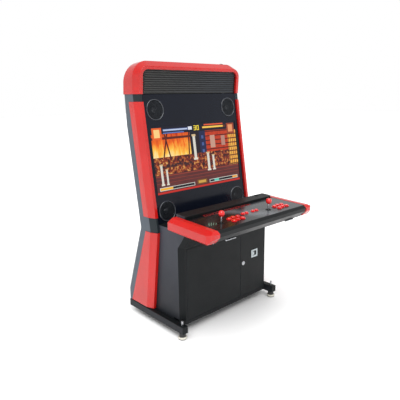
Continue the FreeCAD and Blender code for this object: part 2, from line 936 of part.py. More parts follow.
def rear_access_panel():
    half = size("hatch_half") + size("hatch_lap")
    low, high = size("hatch_low") - size("hatch_lap"), size("hatch_high") + size("hatch_lap")
    gap = size("hatch_gap")
    panel = block((-half, half), (gap, gap + size("hatch_wall")), (low, high))
    slots = []
    for step in count("louvre_count"):
        z = size("louvre_low") + size("louvre_pitch") * step
        wide, past = size("louvre_half"), size("past")
        slots.append(block((-wide, wide), (-past, past), (z, z + size("louvre_high"))))
    node(cut(panel, *slots), "rear_access_panel", BACK)


def door(x_low, x_high, pivot_x):
    """A folded sheet pan that fills part of the doorway, and the tools that hollow and bore it."""
    skin, past = size("skin"), size("past")
    low, high = size("door_bottom"), size("door_top")
    front = size("base_front")
    back = front + size("door_depth")
    pan = block((x_low, x_high), (front, back), (low, high))
    hollow = block((x_low + skin, x_high - skin), (front + skin, back + past), (low + skin, high - skin))
    start = (pivot_x, front + size("pivot_inset"), low - past)
    bore = rod("z", start, size("pivot_bore"), high - low + past + past)
    return pan, [hollow, bore]


def doors():
    front, past = size("base_front"), size("past")
    (left, right), _ = pivots()
    seam = size("door_seam")
    pan, tools = door(size("door_left"), size("door_split") - seam, left)
    node(cut(pan, *tools), "main_door")

    pan, tools = door(size("door_split") + seam, size("door_right"), right)
    tools.append(rod("y", (size("lock_x"), front - past, size("lock_z")), size("lock_bore"), 4 * past))
    x, z = size("coin_x"), size("coin_z")
    across, up = size("coin_hole_x"), size("coin_hole_z")
    tools.append(block((x - across, x + across), (front - past, front + 2 * past), (z - up, z + up)))
    node(cut(pan, *tools), "coin_door")


def coin_lock():
    """Round lock plug with a key way and a cam that catches behind the stop frame."""
    x, z, front = size("lock_x"), size("lock_z"), size("base_front")
    start = front - size("lock_proud")
    plug = rod("y", (x, start, z), size("lock_radius"), size("lock_length"))
    half, deep = size("key_half"), size("key_deep")
    key_way = block((x - half, x + half), (start - 1, front + deep), (z - deep, z + deep))
    cam_y = start + size("lock_length") - 0.5
    wide = size("cam_half")
    cam = block((x - wide, x + wide), (cam_y, cam_y + size("cam_thick")),
                (z - size("cam_tail"), z + size("cam_tip")))
    node(cut(fuse(plug, cam), key_way), "coin_lock")


def coin_entry():
    """Moulded plate with a recessed coin slot, in front of the coin mechanism."""
    x, z, front = size("coin_x"), size("coin_z"), size("base_front")
    wide, tall = size("coin_plate_x"), size("coin_plate_z")
    across, up = size("coin_hole_x") - size("coin_mech"), size("coin_hole_z") - size("coin_mech")
    face, skin, past = front - size("coin_proud"), size("skin"), size("past")
    plate = block((x - wide, x + wide), (face, front - size("leaf_gap")), (z - tall, z + tall))
    mech = block((x - across, x + across), (front - 0.5, front + size("coin_mech_deep")), (z - up, z + up))
    window = block((x - size("coin_window_left"), x + size("coin_window_right")),
                   (front - past, front + skin),
                   (z - size("coin_window_low"), z + size("coin_window_high")))
    half = size("coin_boss_half")
    boss = block((x - size("coin_boss_left"), x - size("coin_boss_right")), (front - 2, front + skin + 1),
                 (z - half, z + half))
    left, half = x + size("coin_slot_left"), size("coin_slot_half")
    slot = block((left, left + size("coin_slot_wide")), (front + 2, front + size("coin_slot_deep")),
                 (z - half, z + half))
    node(fuse(cut(plate, window), cut(mech, window, slot), boss), "coin_entry")


def coin_box():
    """Open box on the floor that catches the coins."""
    floor, wall = size("floor_z") + size("skin"), size("box_wall")
    left, right = size("box_left"), size("box_right")
    front, rear = size("box_front"), size("box_rear")
    box = block((left, right), (front, rear), (floor, floor + size("box_high")))
    room = block((left + wall, right - wall), (front + wall, rear - wall),
                 (floor + wall, floor + size("box_high") + size("past")))
    node(cut(box, room), "coin_box")


def power_supply():
    floor, wall, past = size("floor_z") + size("skin"), size("supply_wall"), size("past")
    left, right = size("supply_left"), size("supply_right")
    front, rear, high = size("supply_front"), size("supply_rear"), size("supply_high")
    ear, inset = size("supply_ear"), size("supply_ear_inset")
    case = block((left, right), (front, rear), (floor, floor + high))
    ears = block((left - ear, right + ear), (front + inset, rear - inset), (floor, floor + wall))
    room = block((left + wall, right - wall), (front + wall, rear - wall),
                 (floor + wall, floor + high - wall))
    vents = []
    for step in count("supply_vent_count"):
        x = left + inset + size("supply_vent_pitch") * step
        vents.append(block((x, x + size("supply_vent_wide")), (front - past, front + wall + 1),
                           (floor + ear, floor + high - ear)))
    node(cut(fuse(case, ears), room, *vents), "power_supply")


def game_board():
    """Circuit board on four feet, with a cooler, a chip and an edge connector."""
    floor, rise = size("floor_z") + size("skin"), size("board_rise")
    left, right = size("board_left"), size("board_right")
    front, rear = size("board_front"), size("board_rear")
    inset = size("board_foot_inset")
    low = floor + rise
    board = block((left, right), (front, rear), (low, low + size("board_thick")))
    feet = [rod("z", (x, y, floor), size("board_foot"), rise + 0.5)
            for x in (left + inset, right - inset) for y in (front + inset, rear - inset)]
    parts = []
    for name in ("cooler", "chip", "edge"):
        across = (size(f"{name}_left"), size(f"{name}_right"))
        depth = (size(f"{name}_front"), size(f"{name}_rear"))
        parts.append(block(across, depth, (low + 1, low + size("board_thick") + size(f"{name}_high"))))
    node(fuse(board, *feet, *parts), "game_board")


def mains_inlet():
    x, z, rear = size("inlet_x"), size("inlet_z"), size("base_rear")
    gap, past = size("inlet_gap"), size("past")
    face = rear + gap + size("inlet_plate_thick")
    across, up = size("inlet_plate_x"), size("inlet_plate_z")
    flange = block((x - across, x + across), (rear + gap, face), (z - up, z + up))
    across, up = size("inlet_body_x"), size("inlet_body_z")
    body = block((x - across, x + across), (rear - size("inlet_deep"), rear + 1), (z - up, z + up))
    across, up = size("inlet_socket_x"), size("inlet_socket_z")
    socket = block((x - across, x + across), (rear - size("inlet_socket_deep"), face + past),
                   (z - up, z + up))
    node(cut(fuse(flange, body), socket), "mains_inlet")


# ---------------------------------------------------------------- face, monitor and speakers

def speaker_places():
    x = size("speaker_x")
    return [(sign * x, z) for z in (size("speaker_high"), size("speaker_low")) for sign in (-1, 1)]


def bezel():
    half, sheet_thick = size("face_half"), size("sheet")
    low, high = size("face_low"), size("face_high")
    body = new_body()
    outline = [(-half, low), (half, low), (half, high), (-half, high)]
    pad(body, polygon(sketch_on(body, "XZ_Plane"), outline), sheet_thick, backwards=True)
    picture, tall = size("picture_half"), size("picture_height")
    window = sketch_on(body, "XZ_Plane", 1)
    polygon(window, [(-picture, 0), (picture, 0), (picture, tall), (-picture, tall)])
    pocket(body, window, sheet_thick + 2)
    holes = circles(sketch_on(body, "XZ_Plane", 1), speaker_places(), size("speaker_hole"))
    pocket(body, holes, sheet_thick + 2)
    node(body, "bezel_panel", FACE)


def monitor():
    picture, tall, margin = size("picture_half"), size("picture_height"), size("glass_margin")
    glass = block((-picture - margin, picture + margin), (size("glass_front"), size("glass_rear")),
                  (-margin, tall + margin))
    node(group(glass), "lcd_screen", FACE)

    wide, up = picture + size("case_margin_x"), size("case_margin_z")
    front, rear = size("glass_rear") + size("leaf_gap"), size("case_rear")
    case = block((-wide, wide), (front, rear), (-up, tall + up))
    hump_rear = size("hump_rear")
    hump = block((-size("hump_half"), size("hump_half")), (rear - 1, hump_rear),
                 (size("hump_low"), size("hump_high")))
    ears = []
    for step in count("ear_count"):
        z = size("ear_low") + size("ear_pitch") * step
        depth = (size("ear_front"), size("ear_front") + size("skin"))
        ears.append(block((-size("ear_half"), size("ear_half")), depth, (z, z + size("ear_high"))))
    vents = []
    for step in count("case_vent_count"):
        x = size("case_vent_first") + size("case_vent_pitch") * step
        vents.append(block((x, x + size("case_vent_wide")),
                           (hump_rear - size("case_vent_deep"), hump_rear + size("past")),
                           (size("case_vent_low"), size("case_vent_high"))))
    node(cut(fuse(case, hump, *ears), *vents), "lcd_monitor", FACE)


def speakers():
    """Ring and mesh in front of the bezel, and the driver behind it, at each of the four places."""
    ring, wide, hole = size("speaker_ring"), size("speaker_ring_wide"), size("speaker_hole")
    proud, deep, back = size("speaker_ring_proud"), size("speaker_ring_deep"), size("sheet")
    grilles, drivers = [], []
    for x, z in speaker_places():
        mouth = rod("y", (x, -proud - 1, z), ring - wide, deep + 2)
        collar = cut(rod("y", (x, -proud, z), ring, deep), mouth)
        mesh = rod("y", (x, -size("speaker_net_front"), z), ring - wide + 0.5, size("speaker_net_deep"))
        grilles.append(fuse(collar, mesh))
        basket = rod("y", (x, back + 1, z), hole + 1, size("basket_deep"), size("basket_rear"))
        magnet = rod("y", (x, size("magnet_front"), z), size("magnet_radius"), size("magnet_deep"))
        cone = rod("y", (x, back, z), hole - size("cone_lip"), size("cone_deep"), size("cone_rear"))
        drivers.append(cut(fuse(basket, magnet), cone))
    node(group(*grilles), "speaker_grilles", FACE)
    node(group(*drivers), "speaker_drivers", FACE)


def rear_cover():
    """Bent sheet that closes the back of the upper part, between the side frames."""
    half, low, high = size("cover_half"), size("cover_low"), size("cover_high")
    rear = size("cover_rear_y")
    outer = [
        (size("cover_waist_y"), low), (size("cover_shoulder_y"), size("shoulder_z")),
        (rear, size("cover_bend_z")), (rear, high),
    ]
    inner = [(y - size("cover_wall"), z) for y, z in reversed(outer)]
    bent = extruded("YZ_Plane", outer + inner, half * 2, midplane=True)
    outline = new_body()
    arched = sketch_on(outline, "XZ_Plane", -size("cover_front_y"))
    arch(arched, half, low - 2, high, size("cover_corner"))
    pad(outline, arched, size("cover_deep"), backwards=True)
    slots = []
    depth = (size("frame_rear_y") - 44, size("frame_rear_y") + 16)
    near, far = size("vent_near"), size("vent_far")
    for step in count("vent_count"):
        z = size("vent_first_z") + size("vent_pitch_z") * step
        slots.append(block((-far, -near), depth, (z, z + size("vent_high"))))
        slots.append(block((near, far), depth, (z, z + size("vent_high"))))
    node(cut(common(bent, outline), *slots), "rear_cover")


# ---------------------------------------------------------------- hood and marquee

def hood_outline(body, y, inset, prefix, half):
    """Arched outline of the hood at a depth, pulled in by inset."""
    sketch = sketch_on(body, "XZ_Plane", -dim(y))
    high, corner = size(f"{prefix}_high"), size(f"{prefix}_corner")
    return arch(sketch, half - inset, size("hood_low"), high - inset, corner - inset)


def hood():
    """Red shell: a bevelled front, a body whose corners grow rounder to the back, and a framed mouth."""
    skin, past = size("skin"), size("past")
    depth, facet = size("hood_depth"), size("facet_y")
    half, front_half = size("frame_outer") + skin, size("hood_front_half")
    body = new_body()
    for inset, kind in ((dim(0), "AdditiveLoft"), (skin, "SubtractiveLoft")):
        places = [(inset, "hood_front", front_half), (facet + inset, "hood", half),
                  (depth + inset, "hood_rear", half)]
        for start, end in zip(places, places[1:]):
            loft(body, [hood_outline(body, y, inset, prefix, wide) for y, prefix, wide in (start, end)], kind)

    low = size("hood_low")
    wide, high, corner = size("hood_mouth_half"), size("hood_mouth_high"), size("hood_mouth_corner")
    inside = size("hood_return") - 1
    frame = arch(sketch_on(body, "XZ_Plane", -1), wide + skin, low, high + skin, corner + skin)
    pad(body, frame, inside, backwards=True)
    mouth = arch(sketch_on(body, "XZ_Plane", 1), wide, low, high, corner)
    pocket(body, mouth, inside + skin + 1)
    # level bottom edge: everything under the hood's lower front edge is cut off along the horizontal
    slope, beyond, deep = size("hood_slope"), depth + 4 * past, low * 3
    level = sketch_on(body, "YZ_Plane")
    polygon(level, [(-past, past * slope), (beyond, -beyond * slope), (beyond, deep), (-past, deep)])
    pocket(body, level, size("armrest_outer") * 2, midplane=True)
    node(body, "hood_trim", HOOD)


def marquee():
    """Ribbed plate across the hood's mouth, and the lamp behind it."""
    half, back = size("grille_half"), size("grille_back")
    high = size("hood_mouth_high")
    plate = block((-half, half), (back, back + size("grille_wall")), (1, high + size("grille_rise")))
    first = high * 0.5 - size("rib_pitch") * ((size("rib_count") - 1) * 0.5)
    root, tip, deep = size("rib_root"), size("rib_tip"), size("rib_deep")
    ribs = []
    for step in count("rib_count"):
        z = first + size("rib_pitch") * step
        outline = [(back + 1, z - root), (back - deep, z - tip), (back - deep, z + tip), (back + 1, z + root)]
        ribs.append(extruded("YZ_Plane", outline, size("rib_half") * 2, midplane=True))
    node(fuse(plate, *ribs), "marquee_grille", HOOD)

    x, y, z = size("lamp_half"), size("lamp_y"), size("lamp_z")
    holder, rail_y = size("lamp_holder"), size("lamp_rail_y")
    tube = rod("x", (-x, y, z), size("lamp_radius"), x * 2)
    holders = [block((side - holder, side + holder), (y - 2 * holder, rail_y + 2),
                     (z - holder * 2.5, z + holder * 2.5)) for side in (-x, x)]
    reach = size("lamp_rail_half")
    rail = block((-reach, reach), (rail_y, rail_y + size("lamp_rail_deep")), (z - 10, z + 10))
    node(fuse(tube, rail, *holders), "marquee_lamp", HOOD)


# ---------------------------------------------------------------- control panel

def stick_centres():
    return [size("stick_left_x"), size("stick_left_x") + size("stick_pitch")]


def action_buttons():
    """Local x and y of each player's six buttons, from the stick outwards."""
    offsets = [(-36, 14), (0, 22), (36, 18), (-36, -24), (0, -16), (36, -20)]
    middles = [x + size("pad_from_stick") for x in stick_centres()]
    return [[(middle + x, size("stick_y") + y) for x, y in offsets] for middle in middles]


def start_buttons():
    pairs = [size("start_left_x"), size("start_left_x") + size("start_pitch")]
    half = size("start_half")
    return [[(middle - half, size("start_y")), (middle + half, size("start_y"))] for middle in pairs]


def panel_lid():
    """Folded sheet: the flat top, then a bevel, an upright face and a long bevel under the front."""
    front, skin, past = size("panel_front"), size("skin"), size("past")
    nose_y, nose_z, foot = size("nose_back"), size("nose_drop"), size("nose_foot")
    chin_y, chin_z = size("chin_back"), size("chin_foot")
    outline = [
        (0, 0), (front + nose_y, 0), (front, -nose_z), (front, -foot), (front + chin_y, -chin_z),
        (front + chin_y + 2.2, -chin_z + 2), (front + skin, -foot + 1.2), (front + skin, -nose_z - 1.6),
        (front + nose_y + 1, -skin), (0, -skin),
    ]
    body = extruded("YZ_Plane", outline, size("panel_half") * 2, midplane=True)
    big = [place for player in action_buttons() for place in player]
    small = [place for pair in start_buttons() for place in pair]
    sticks = [(x, size("stick_y")) for x in stick_centres()]
    radii = (size("button_hole"), size("small_hole"), size("stick_hole"))
    for places, radius in zip((big, small, sticks), radii):
        pocket(body, circles(sketch_on(body, "XY_Plane", past), places, radius), skin + past + past)
    node(body, "panel_lid", DECK)


def panel_tray():
    """Walls standing on a floor plate, under the panel; the front wall is low, behind the panel's chin."""
    half, floor = size("tray_half"), size("tray_floor")
    front, rear = size("tray_front"), size("tray_rear")
    skin, past = size("skin"), size("past")
    plate = block((-half, half), (front, rear), (floor, floor + skin))
    shell = block((-half, half), (front, rear), (floor + skin, -size("tray_gap")))
    room = block((-half + skin, half - skin), (front + skin, rear - skin), (floor, past))
    mouth = block((-half - 1, half + 1), (front - 1, front + skin + 1), (size("tray_front_top"), past))
    node(group(plate, cut(shell, room, mouth)), "panel_tray", DECK)


def armrests():
    """Red end caps: hollow mouldings, bevelled round the top, the front and the chin, open underneath."""
    inner, outer = size("armrest_inner"), size("armrest_outer")
    front, rear = size("armrest_front"), size("armrest_rear")
    low, high = size("armrest_low"), size("armrest_high")
    edge, soft, past = size("armrest_edge"), size("armrest_soft"), size("past")
    across = outer - inner + 4 * past
    body = new_body()
    profile = sketch_on(body, "XZ_Plane", -front)
    polygon(profile, [
        (inner, low), (outer - edge, low), (outer, low + edge), (outer, high - size("armrest_bevel_z")),
        (outer - size("armrest_bevel_x"), high), (inner + soft, high), (inner, high - soft),
    ])
    pad(body, profile, rear - front, backwards=True)
    nose = sketch_on(body, "XY_Plane", high + past)
    long = front + size("armrest_nose_long")
    polygon(nose, [
        (inner + size("armrest_nose_inner"), front - 1), (outer + 1, front - 1), (outer + 1, long),
        (outer, long),
        (outer - size("armrest_nose_outer"), front + size("armrest_nose_short")),
        (outer - size("armrest_nose_mid"), front),
    ])
    pocket(body, nose, high - low + 4 * past)
    nose_y, nose_z = size("nose_back"), size("nose_drop")
    brow = sketch_on(body, "YZ_Plane", inner - past)
    polygon(brow, [
        (front - 1, -nose_z), (front, -nose_z), (front + nose_y + 2, high), (front + nose_y + 2, high + past),
        (front - 1, high + past),
    ])
    pocket(body, brow, across, backwards=True)
    chin_y, chin_z = size("armrest_chin_back"), size("armrest_chin_high")
    chin = sketch_on(body, "YZ_Plane", inner - past)
    polygon(chin, [
        (front - 1, low - 1), (front + chin_y, low - 1), (front + chin_y, low), (front, low + chin_z),
        (front - 1, low + chin_z),
    ])
    pocket(body, chin, across, backwards=True)
    wall, thick, nose_wall = size("armrest_wall"), size("armrest_outer_wall"), size("armrest_nose_wall")
    hollow = sketch_on(body, "XY_Plane", low - 1)
    polygon(hollow, [
        (inner + wall, front + nose_wall), (outer - thick, front + nose_wall),
        (outer - thick, rear - wall), (inner + wall, rear - wall),
    ])
    pocket(body, hollow, high - low + 1 - size("armrest_roof"), backwards=True)
    cap = node(body, "right_armrest", DECK)
    node(mirrored(cap), "left_armrest")


def shelf():
    """Low box behind the control panel, with a small square reader window."""
    half, skin, past = size("panel_half"), size("skin"), size("past")
    near, far, top = size("shelf_front"), size("shelf_rear"), size("shelf_high")
    left = size("shelf_left_bevel")
    corner_x, corner_y = size("shelf_corner_x"), size("shelf_corner_y")
    mid_x, mid_y = size("shelf_mid_x"), size("shelf_mid_y")
    body = new_body()
    outline = [
        (-half + left, near), (half - corner_x, near), (half - mid_x, near + mid_y), (half, near + corner_y),
        (half, far), (-half, far), (-half, near + left),
    ]
    pad(body, polygon(sketch_on(body, "XY_Plane", -skin), outline), top + skin)
    room = [
        (-half + left + skin, near + skin), (half - corner_x - skin, near + skin),
        (half - mid_x - skin, near + mid_y + skin), (half - skin, near + corner_y + skin),
        (half - skin, far - skin), (-half + skin, far - skin), (-half + skin, near + left + skin),
    ]
    pocket(body, polygon(sketch_on(body, "XY_Plane", -skin - 1), room), top + 1, backwards=True)
    x_low, x_high = size("window_left"), size("window_right")
    y_low, y_high = size("window_front"), size("window_rear")
    window = sketch_on(body, "XY_Plane", top + past)
    polygon(window, [(x_low, y_low), (x_high, y_low), (x_high, y_high), (x_low, y_high)])
    pocket(body, window, skin + past + past)
    node(body, "shelf_box", DECK)


def hinge_line():
    """Local y and z of the lid's hinge line under the panel's front lip."""
    return size("panel_front") + size("chin_back"), -size("chin_foot") - size("hinge_drop")


def panel_hinges():
    y, z = hinge_line()
    half_length = size("hinge_length") * 0.5
    top = size("tray_floor") - size("leaf_gap")
    height = (top - size("leaf_thick"), top)
    hinges = []
    for x in (-size("hinge_x"), size("hinge_x")):
        barrel = rod("x", (x - half_length, y, z), size("hinge_radius"), size("hinge_length"))
        leaf = block((x - half_length, x + half_length), (y, y + size("leaf_deep")), height)
        hinges.append(fuse(barrel, leaf))
    node(group(*hinges), "panel_hinges", DECK)


def button(place, hole, label):
    """One plunger that slides in its collar; returns the collar."""
    x, y = place
    bore, slack, deep = hole - size("collar_wall"), size("collar_slack"), size("collar_deep")
    high = size("collar_high")
    flange = rod("z", (x, y, 0), hole + size("collar_lip"), high)
    barrel = rod("z", (x, y, -deep), hole - slack, deep)
    room = rod("z", (x, y, -deep + size("collar_floor")), bore, deep + high)
    rise = size("cap_high")
    cap = rod("z", (x, y, -size("cap_deep")), bore - slack, size("cap_deep") + rise)
    crown = rod("z", (x, y, rise), bore - slack, size("crown_high"), bore - size("crown_inset"))
    node(fuse(cap, crown), label, DECK)
    return cut(fuse(flange, barrel), room)


def buttons():
    collars = []
    for player, places in enumerate(action_buttons(), start=1):
        for number, place in enumerate(places, start=1):
            collars.append(button(place, size("button_hole"), f"p{player}_button_{number}"))
    for player, places in enumerate(start_buttons(), start=1):
        for place, name in zip(places, ("start", "coin")):
            collars.append(button(place, size("small_hole"), f"p{player}_{name}_button"))
    node(group(*collars), "button_collars", DECK)


def stick_base(x, y, z):
    """Housing under the panel with a throat for the stick and bearings for the gimbal ring."""
    half, low, reach = size("housing_half"), size("housing_low"), size("bearing_half")
    housing = block((x - half, x + half), (y - half, y + half), (low, -size("skin")))
    throat = rod("z", (x, y, low - 1), size("throat"), -low + 1)
    bearings = rod("x", (x - reach, y, z), size("bearing_radius"), reach * 2)
    return cut(housing, throat, bearings)


def sticks():
    y, z = size("stick_y"), -size("pivot_drop")
    bases = []
    for player, x in enumerate(stick_centres(), start=1):
        bases.append(stick_base(x, y, z))

        deep, reach, bore = size("gimbal_half"), size("trunnion_half"), size("gimbal_outer") + 3
        ring = rod("z", (x, y, z - deep), size("gimbal_outer"), deep * 2)
        room = rod("z", (x, y, z - deep - 1), size("gimbal_inner"), deep * 2 + 2)
        hub_holes = rod("y", (x, y - bore, z), size("hub_bore"), bore * 2)
        trunnions = rod("x", (x - reach, y, z), size("trunnion_radius"), reach * 2)
        node(cut(fuse(ring, trunnions), room, hub_holes), f"p{player}_stick_gimbal", DECK)

        reach, tail, rise = size("hub_half"), size("shaft_tail"), size("ball_rise")
        hub = rod("y", (x, y - reach, z), size("hub_radius"), reach * 2)
        knuckle = ball((x, y, z), size("knuckle"))
        shaft = rod("z", (x, y, z - tail), size("shaft_radius"), size("pivot_drop") + rise + tail)
        node(fuse(hub, knuckle, shaft), f"p{player}_stick_shaft", DECK)
        top = ball((x, y, rise), size("ball_radius"))
        socket = rod("z", (x, y, rise - size("ball_socket")), size("shaft_radius"), size("ball_socket"))
        node(cut(top, socket), f"p{player}_stick_ball", DECK)
    node(group(*bases), "stick_bases", DECK)


# ---------------------------------------------------------------- build, check and write

def check_all():
    """Stops if any feature failed or any sub-part's shape is missing or not valid."""
    for item in doc.Objects:
        bad = [state for state in item.State if state in ("Invalid", "Error")]
        if bad:
            raise RuntimeError(f"{item.Name} ({item.Label}) is {bad}")
    for item in nodes:
        if item.Shape.isNull() or not item.Shape.isValid() or item.Shape.Volume <= 0:
            raise RuntimeError(f"{item.Label} has no valid shape")


def write_all():
    os.makedirs("parts", exist_ok=True)
    for item in nodes:
        item.Shape.exportStep(f"parts/{item.Label}.step")
    box = FreeCAD.BoundBox()
    for item in nodes:
        box.add(item.Shape.BoundBox)
    print(f"{len(nodes)} nodes, x {box.XMin:.1f}..{box.XMax:.1f}, "
          f"y {box.YMin:.1f}..{box.YMax:.1f}, z {box.ZMin:.1f}..{box.ZMax:.1f}")


trims(side_frames())
skid()
base()
rear_access_panel()
doors()
coin_lock()
coin_entry()
coin_box()
power_supply()
game_board()
mains_inlet()
bezel()
monitor()
speakers()
rear_cover()
hood()
marquee()
panel_lid()
panel_tray()
armrests()
shelf()
panel_hinges()
buttons()
sticks()
doc.recompute()
check_all()
write_all()
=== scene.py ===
import json
import math

import bmesh
import bpy
from mathutils import Matrix, Vector


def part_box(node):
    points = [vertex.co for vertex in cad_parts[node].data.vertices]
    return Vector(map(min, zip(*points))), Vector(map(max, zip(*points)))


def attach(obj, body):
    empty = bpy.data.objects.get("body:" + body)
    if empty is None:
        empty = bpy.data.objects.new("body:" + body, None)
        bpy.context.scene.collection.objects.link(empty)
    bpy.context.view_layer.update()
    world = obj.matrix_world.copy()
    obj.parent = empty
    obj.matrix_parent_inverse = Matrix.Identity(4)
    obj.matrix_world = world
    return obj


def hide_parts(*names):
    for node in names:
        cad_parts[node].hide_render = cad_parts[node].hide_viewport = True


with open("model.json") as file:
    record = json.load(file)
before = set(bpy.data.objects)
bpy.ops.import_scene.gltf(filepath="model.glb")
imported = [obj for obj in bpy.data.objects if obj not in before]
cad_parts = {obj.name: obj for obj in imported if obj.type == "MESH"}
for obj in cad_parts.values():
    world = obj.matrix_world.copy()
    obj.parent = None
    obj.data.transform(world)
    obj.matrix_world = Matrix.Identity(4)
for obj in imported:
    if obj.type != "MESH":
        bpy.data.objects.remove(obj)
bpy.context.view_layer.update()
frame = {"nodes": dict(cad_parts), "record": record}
scene = bpy.context.scene

# Slopes of the three leaning groups: the face leans back, the control panel and the hood to the front.
FACE_LEAN = math.atan(0.1472)
DECK_FALL = math.atan(0.0356)
HOOD_LEAN = math.atan(0.0822)

FACE_UP = Vector((0, math.sin(FACE_LEAN), math.cos(FACE_LEAN)))
FACE_OUT = Vector((0, -math.cos(FACE_LEAN), math.sin(FACE_LEAN)))
DECK_UP = Vector((0, -math.sin(DECK_FALL), math.cos(DECK_FALL)))
HOOD_UP = Vector((0, -math.sin(HOOD_LEAN), math.cos(HOOD_LEAN)))
FRONT = Vector((0, -1, 0))
REAR = Vector((0, 1, 0))
UP = Vector((0, 0, 1))

PICTURE_HALF = 0.3542       # half the width of the lit picture
PICTURE_HIGH = 0.3985       # its height, along the leaning face
GLASS_MARGIN = 0.004        # the glass runs this far past the picture on each side
GLASS_THICK = 0.0027


def rgb(red, green, blue):
    """Display colour from 0 to 255 as the linear colour that shaders take."""
    def linear(value):
        value /= 255
        return value / 12.92 if value <= 0.04045 else ((value + 0.055) / 1.055) ** 2.4
    return (linear(red), linear(green), linear(blue), 1.0)


# ---------------------------------------------------------------- material nodes

NOISE_SPAN = (0.3, 0.7)     # where most of a noise texture's values lie


class Shader:
    """A node material written as expressions: each method returns an output socket."""

    def __init__(self, name, **surface):
        self.material = bpy.data.materials.new(name)
        self.material.use_nodes = True
        self.tree = self.material.node_tree
        self.surface = self.tree.nodes["Principled BSDF"]
        for key, value in surface.items():
            self.surface.inputs[key.replace("_", " ")].default_value = value
        corners = self.add("TexCoord")
        self.place = corners.outputs["Object"]
        self.normal = corners.outputs["Normal"]
        self.x, self.y, self.z = self.split(self.place)

    def add(self, kind, inputs=(), **settings):
        """A new node with its settings and the values or sockets that feed it."""
        node = self.tree.nodes.new("ShaderNode" + kind)
        for key, value in settings.items():
            setattr(node, key, value)
        for key, value in dict(inputs).items():
            self.feed(node.inputs[key], value)
        return node

    def feed(self, socket, value):
        if isinstance(value, bpy.types.NodeSocket):
            self.tree.links.new(value, socket)
        else:
            socket.default_value = value

    def split(self, vector):
        return self.add("SeparateXYZ", {0: vector}).outputs

    def math(self, operation, first, second=0.0, third=0.0):
        return self.add("Math", {0: first, 1: second, 2: third}, operation=operation).outputs[0]

    def both(self, *masks):
        """Product of several masks."""
        result = masks[0]
        for mask in masks[1:]:
            result = self.math("MULTIPLY", result, mask)
        return result

    def stretch(self, amounts):
        return self.add("VectorMath", {0: self.place, 1: amounts}, operation="MULTIPLY").outputs[0]

    def along(self, direction):
        """Distance along a direction."""
        return self.add("VectorMath", {0: self.place, 1: direction}, operation="DOT_PRODUCT").outputs["Value"]

    def noise(self, scale, detail=3.0, roughness=0.5, amounts=(1, 1, 1)):
        inputs = {"Vector": self.stretch(amounts), "Scale": scale, "Detail": detail, "Roughness": roughness}
        return self.add("TexNoise", inputs).outputs["Fac"]

    def cells(self, scale):
        """A colour of its own for each Voronoi cell."""
        return self.add("TexVoronoi", {"Vector": self.stretch((1, 1, 1)), "Scale": scale}).outputs["Color"]

    def remap(self, value, low, high, to_low=0.0, to_high=1.0):
        inputs = {"Value": value, "From Min": low, "From Max": high, "To Min": to_low, "To Max": to_high}
        return self.add("MapRange", inputs).outputs["Result"]

    def ramp(self, value, stops):
        """Colour ramp through (position, colour) stops."""
        node = self.add("ValToRGB", {0: value})
        points = node.color_ramp.elements
        while len(points) < len(stops):
            points.new(0.5)
        for point, (position, colour) in zip(points, stops):
            point.position = position
            point.color = colour
        return node.outputs[0]

    def mix(self, share, first, second):
        return self.add("Mix", {0: share, 6: first, 7: second}, data_type="RGBA").outputs[2]

    def edges(self, radius):
        """1 on sharp edges, fading to 0 on the flat."""
        rounded = self.add("Bevel", {"Radius": radius}, samples=4).outputs[0]
        normal = self.add("NewGeometry").outputs["Normal"]
        agreement = self.add("VectorMath", {0: rounded, 1: normal}, operation="DOT_PRODUCT").outputs["Value"]
        return self.remap(agreement, 0.995, 0.80)

    def band(self, value, low, high, soft=0.0):
        """1 where the value lies between low and high."""
        middle = (low + high) / 2
        reach = (high - low) / 2
        distance = self.math("ABSOLUTE", self.math("SUBTRACT", value, middle))
        if soft:
            return self.remap(distance, reach + soft, reach - soft)
        return self.math("LESS_THAN", distance, reach)

    def set(self, socket, value):
        self.feed(self.surface.inputs[socket], value)

    def base(self):
        """The socket that feeds the base colour now."""
        return self.surface.inputs["Base Color"].links[0].from_socket

    def gloss(self, cloud, low, high):
        """Roughness that drifts from low to high with a noise."""
        return self.remap(cloud, *NOISE_SPAN, low, high)

    def bump(self, height, strength, depth):
        node = self.add("Bump", {"Height": height, "Strength": strength, "Distance": depth})
        self.set("Normal", node.outputs[0])


RED = rgb(190, 22, 18)
BLACK = rgb(15, 18, 20)
# Pale edge colour of the grey board: partly wear, partly a painted highlight.
PALE_EDGE_WEAR_AND_HIGHLIGHT = rgb(150, 165, 180)
EDGE_WEAR_AND_HIGHLIGHT_WIDE = 0.0016        # how far the wear and the painted edge highlight reach from a sharp edge


def scaled(colour, factor):
    return tuple(channel * factor for channel in colour[:3]) + (1.0,)


def moulded(name, colour, worn_and_highlit, roughness, grain, depth, wear_and_highlight=0.3, amounts=(1, 1, 1), **surface):
    """Common finish: cloudy colour, rubbed edges that are partly wear and partly a painted highlight, smudged
    gloss and a fine surface grain.
    """
    shader = Shader(name, **surface)
    cloud = shader.noise(5.0, 4.0, 0.6)
    body = shader.mix(shader.remap(cloud, *NOISE_SPAN), scaled(colour, 0.9), scaled(colour, 1.07))
    patchy = shader.remap(shader.noise(55.0, 3.0), 0.4, 0.65)
    # Lighter colour along sharp edges: partly wear, partly a painted highlight.
    rubbed_and_highlit = shader.both(shader.edges(EDGE_WEAR_AND_HIGHLIGHT_WIDE), patchy, wear_and_highlight)
    shader.set("Base Color", shader.mix(rubbed_and_highlit, body, worn_and_highlit))
    smudge = shader.noise(9.0, 5.0, 0.65)
    shader.set("Roughness", shader.gloss(smudge, *roughness))
    shader.bump(shader.noise(grain, 2.0, 0.5, amounts), 0.35, depth)
    return shader


def brushed(name, colour, roughness, amounts):
    """Bare metal with fine scratches along one direction."""
    shader = Shader(name, Metallic=1.0)
    scratches = shader.noise(160.0, 4.0, 0.7, amounts)
    shader.set("Base Color", shader.mix(scratches, scaled(colour, 0.82), scaled(colour, 1.1)))
    shader.set("Roughness", shader.gloss(scratches, *roughness))
    shader.bump(scratches, 0.2, 0.0002)
    return shader


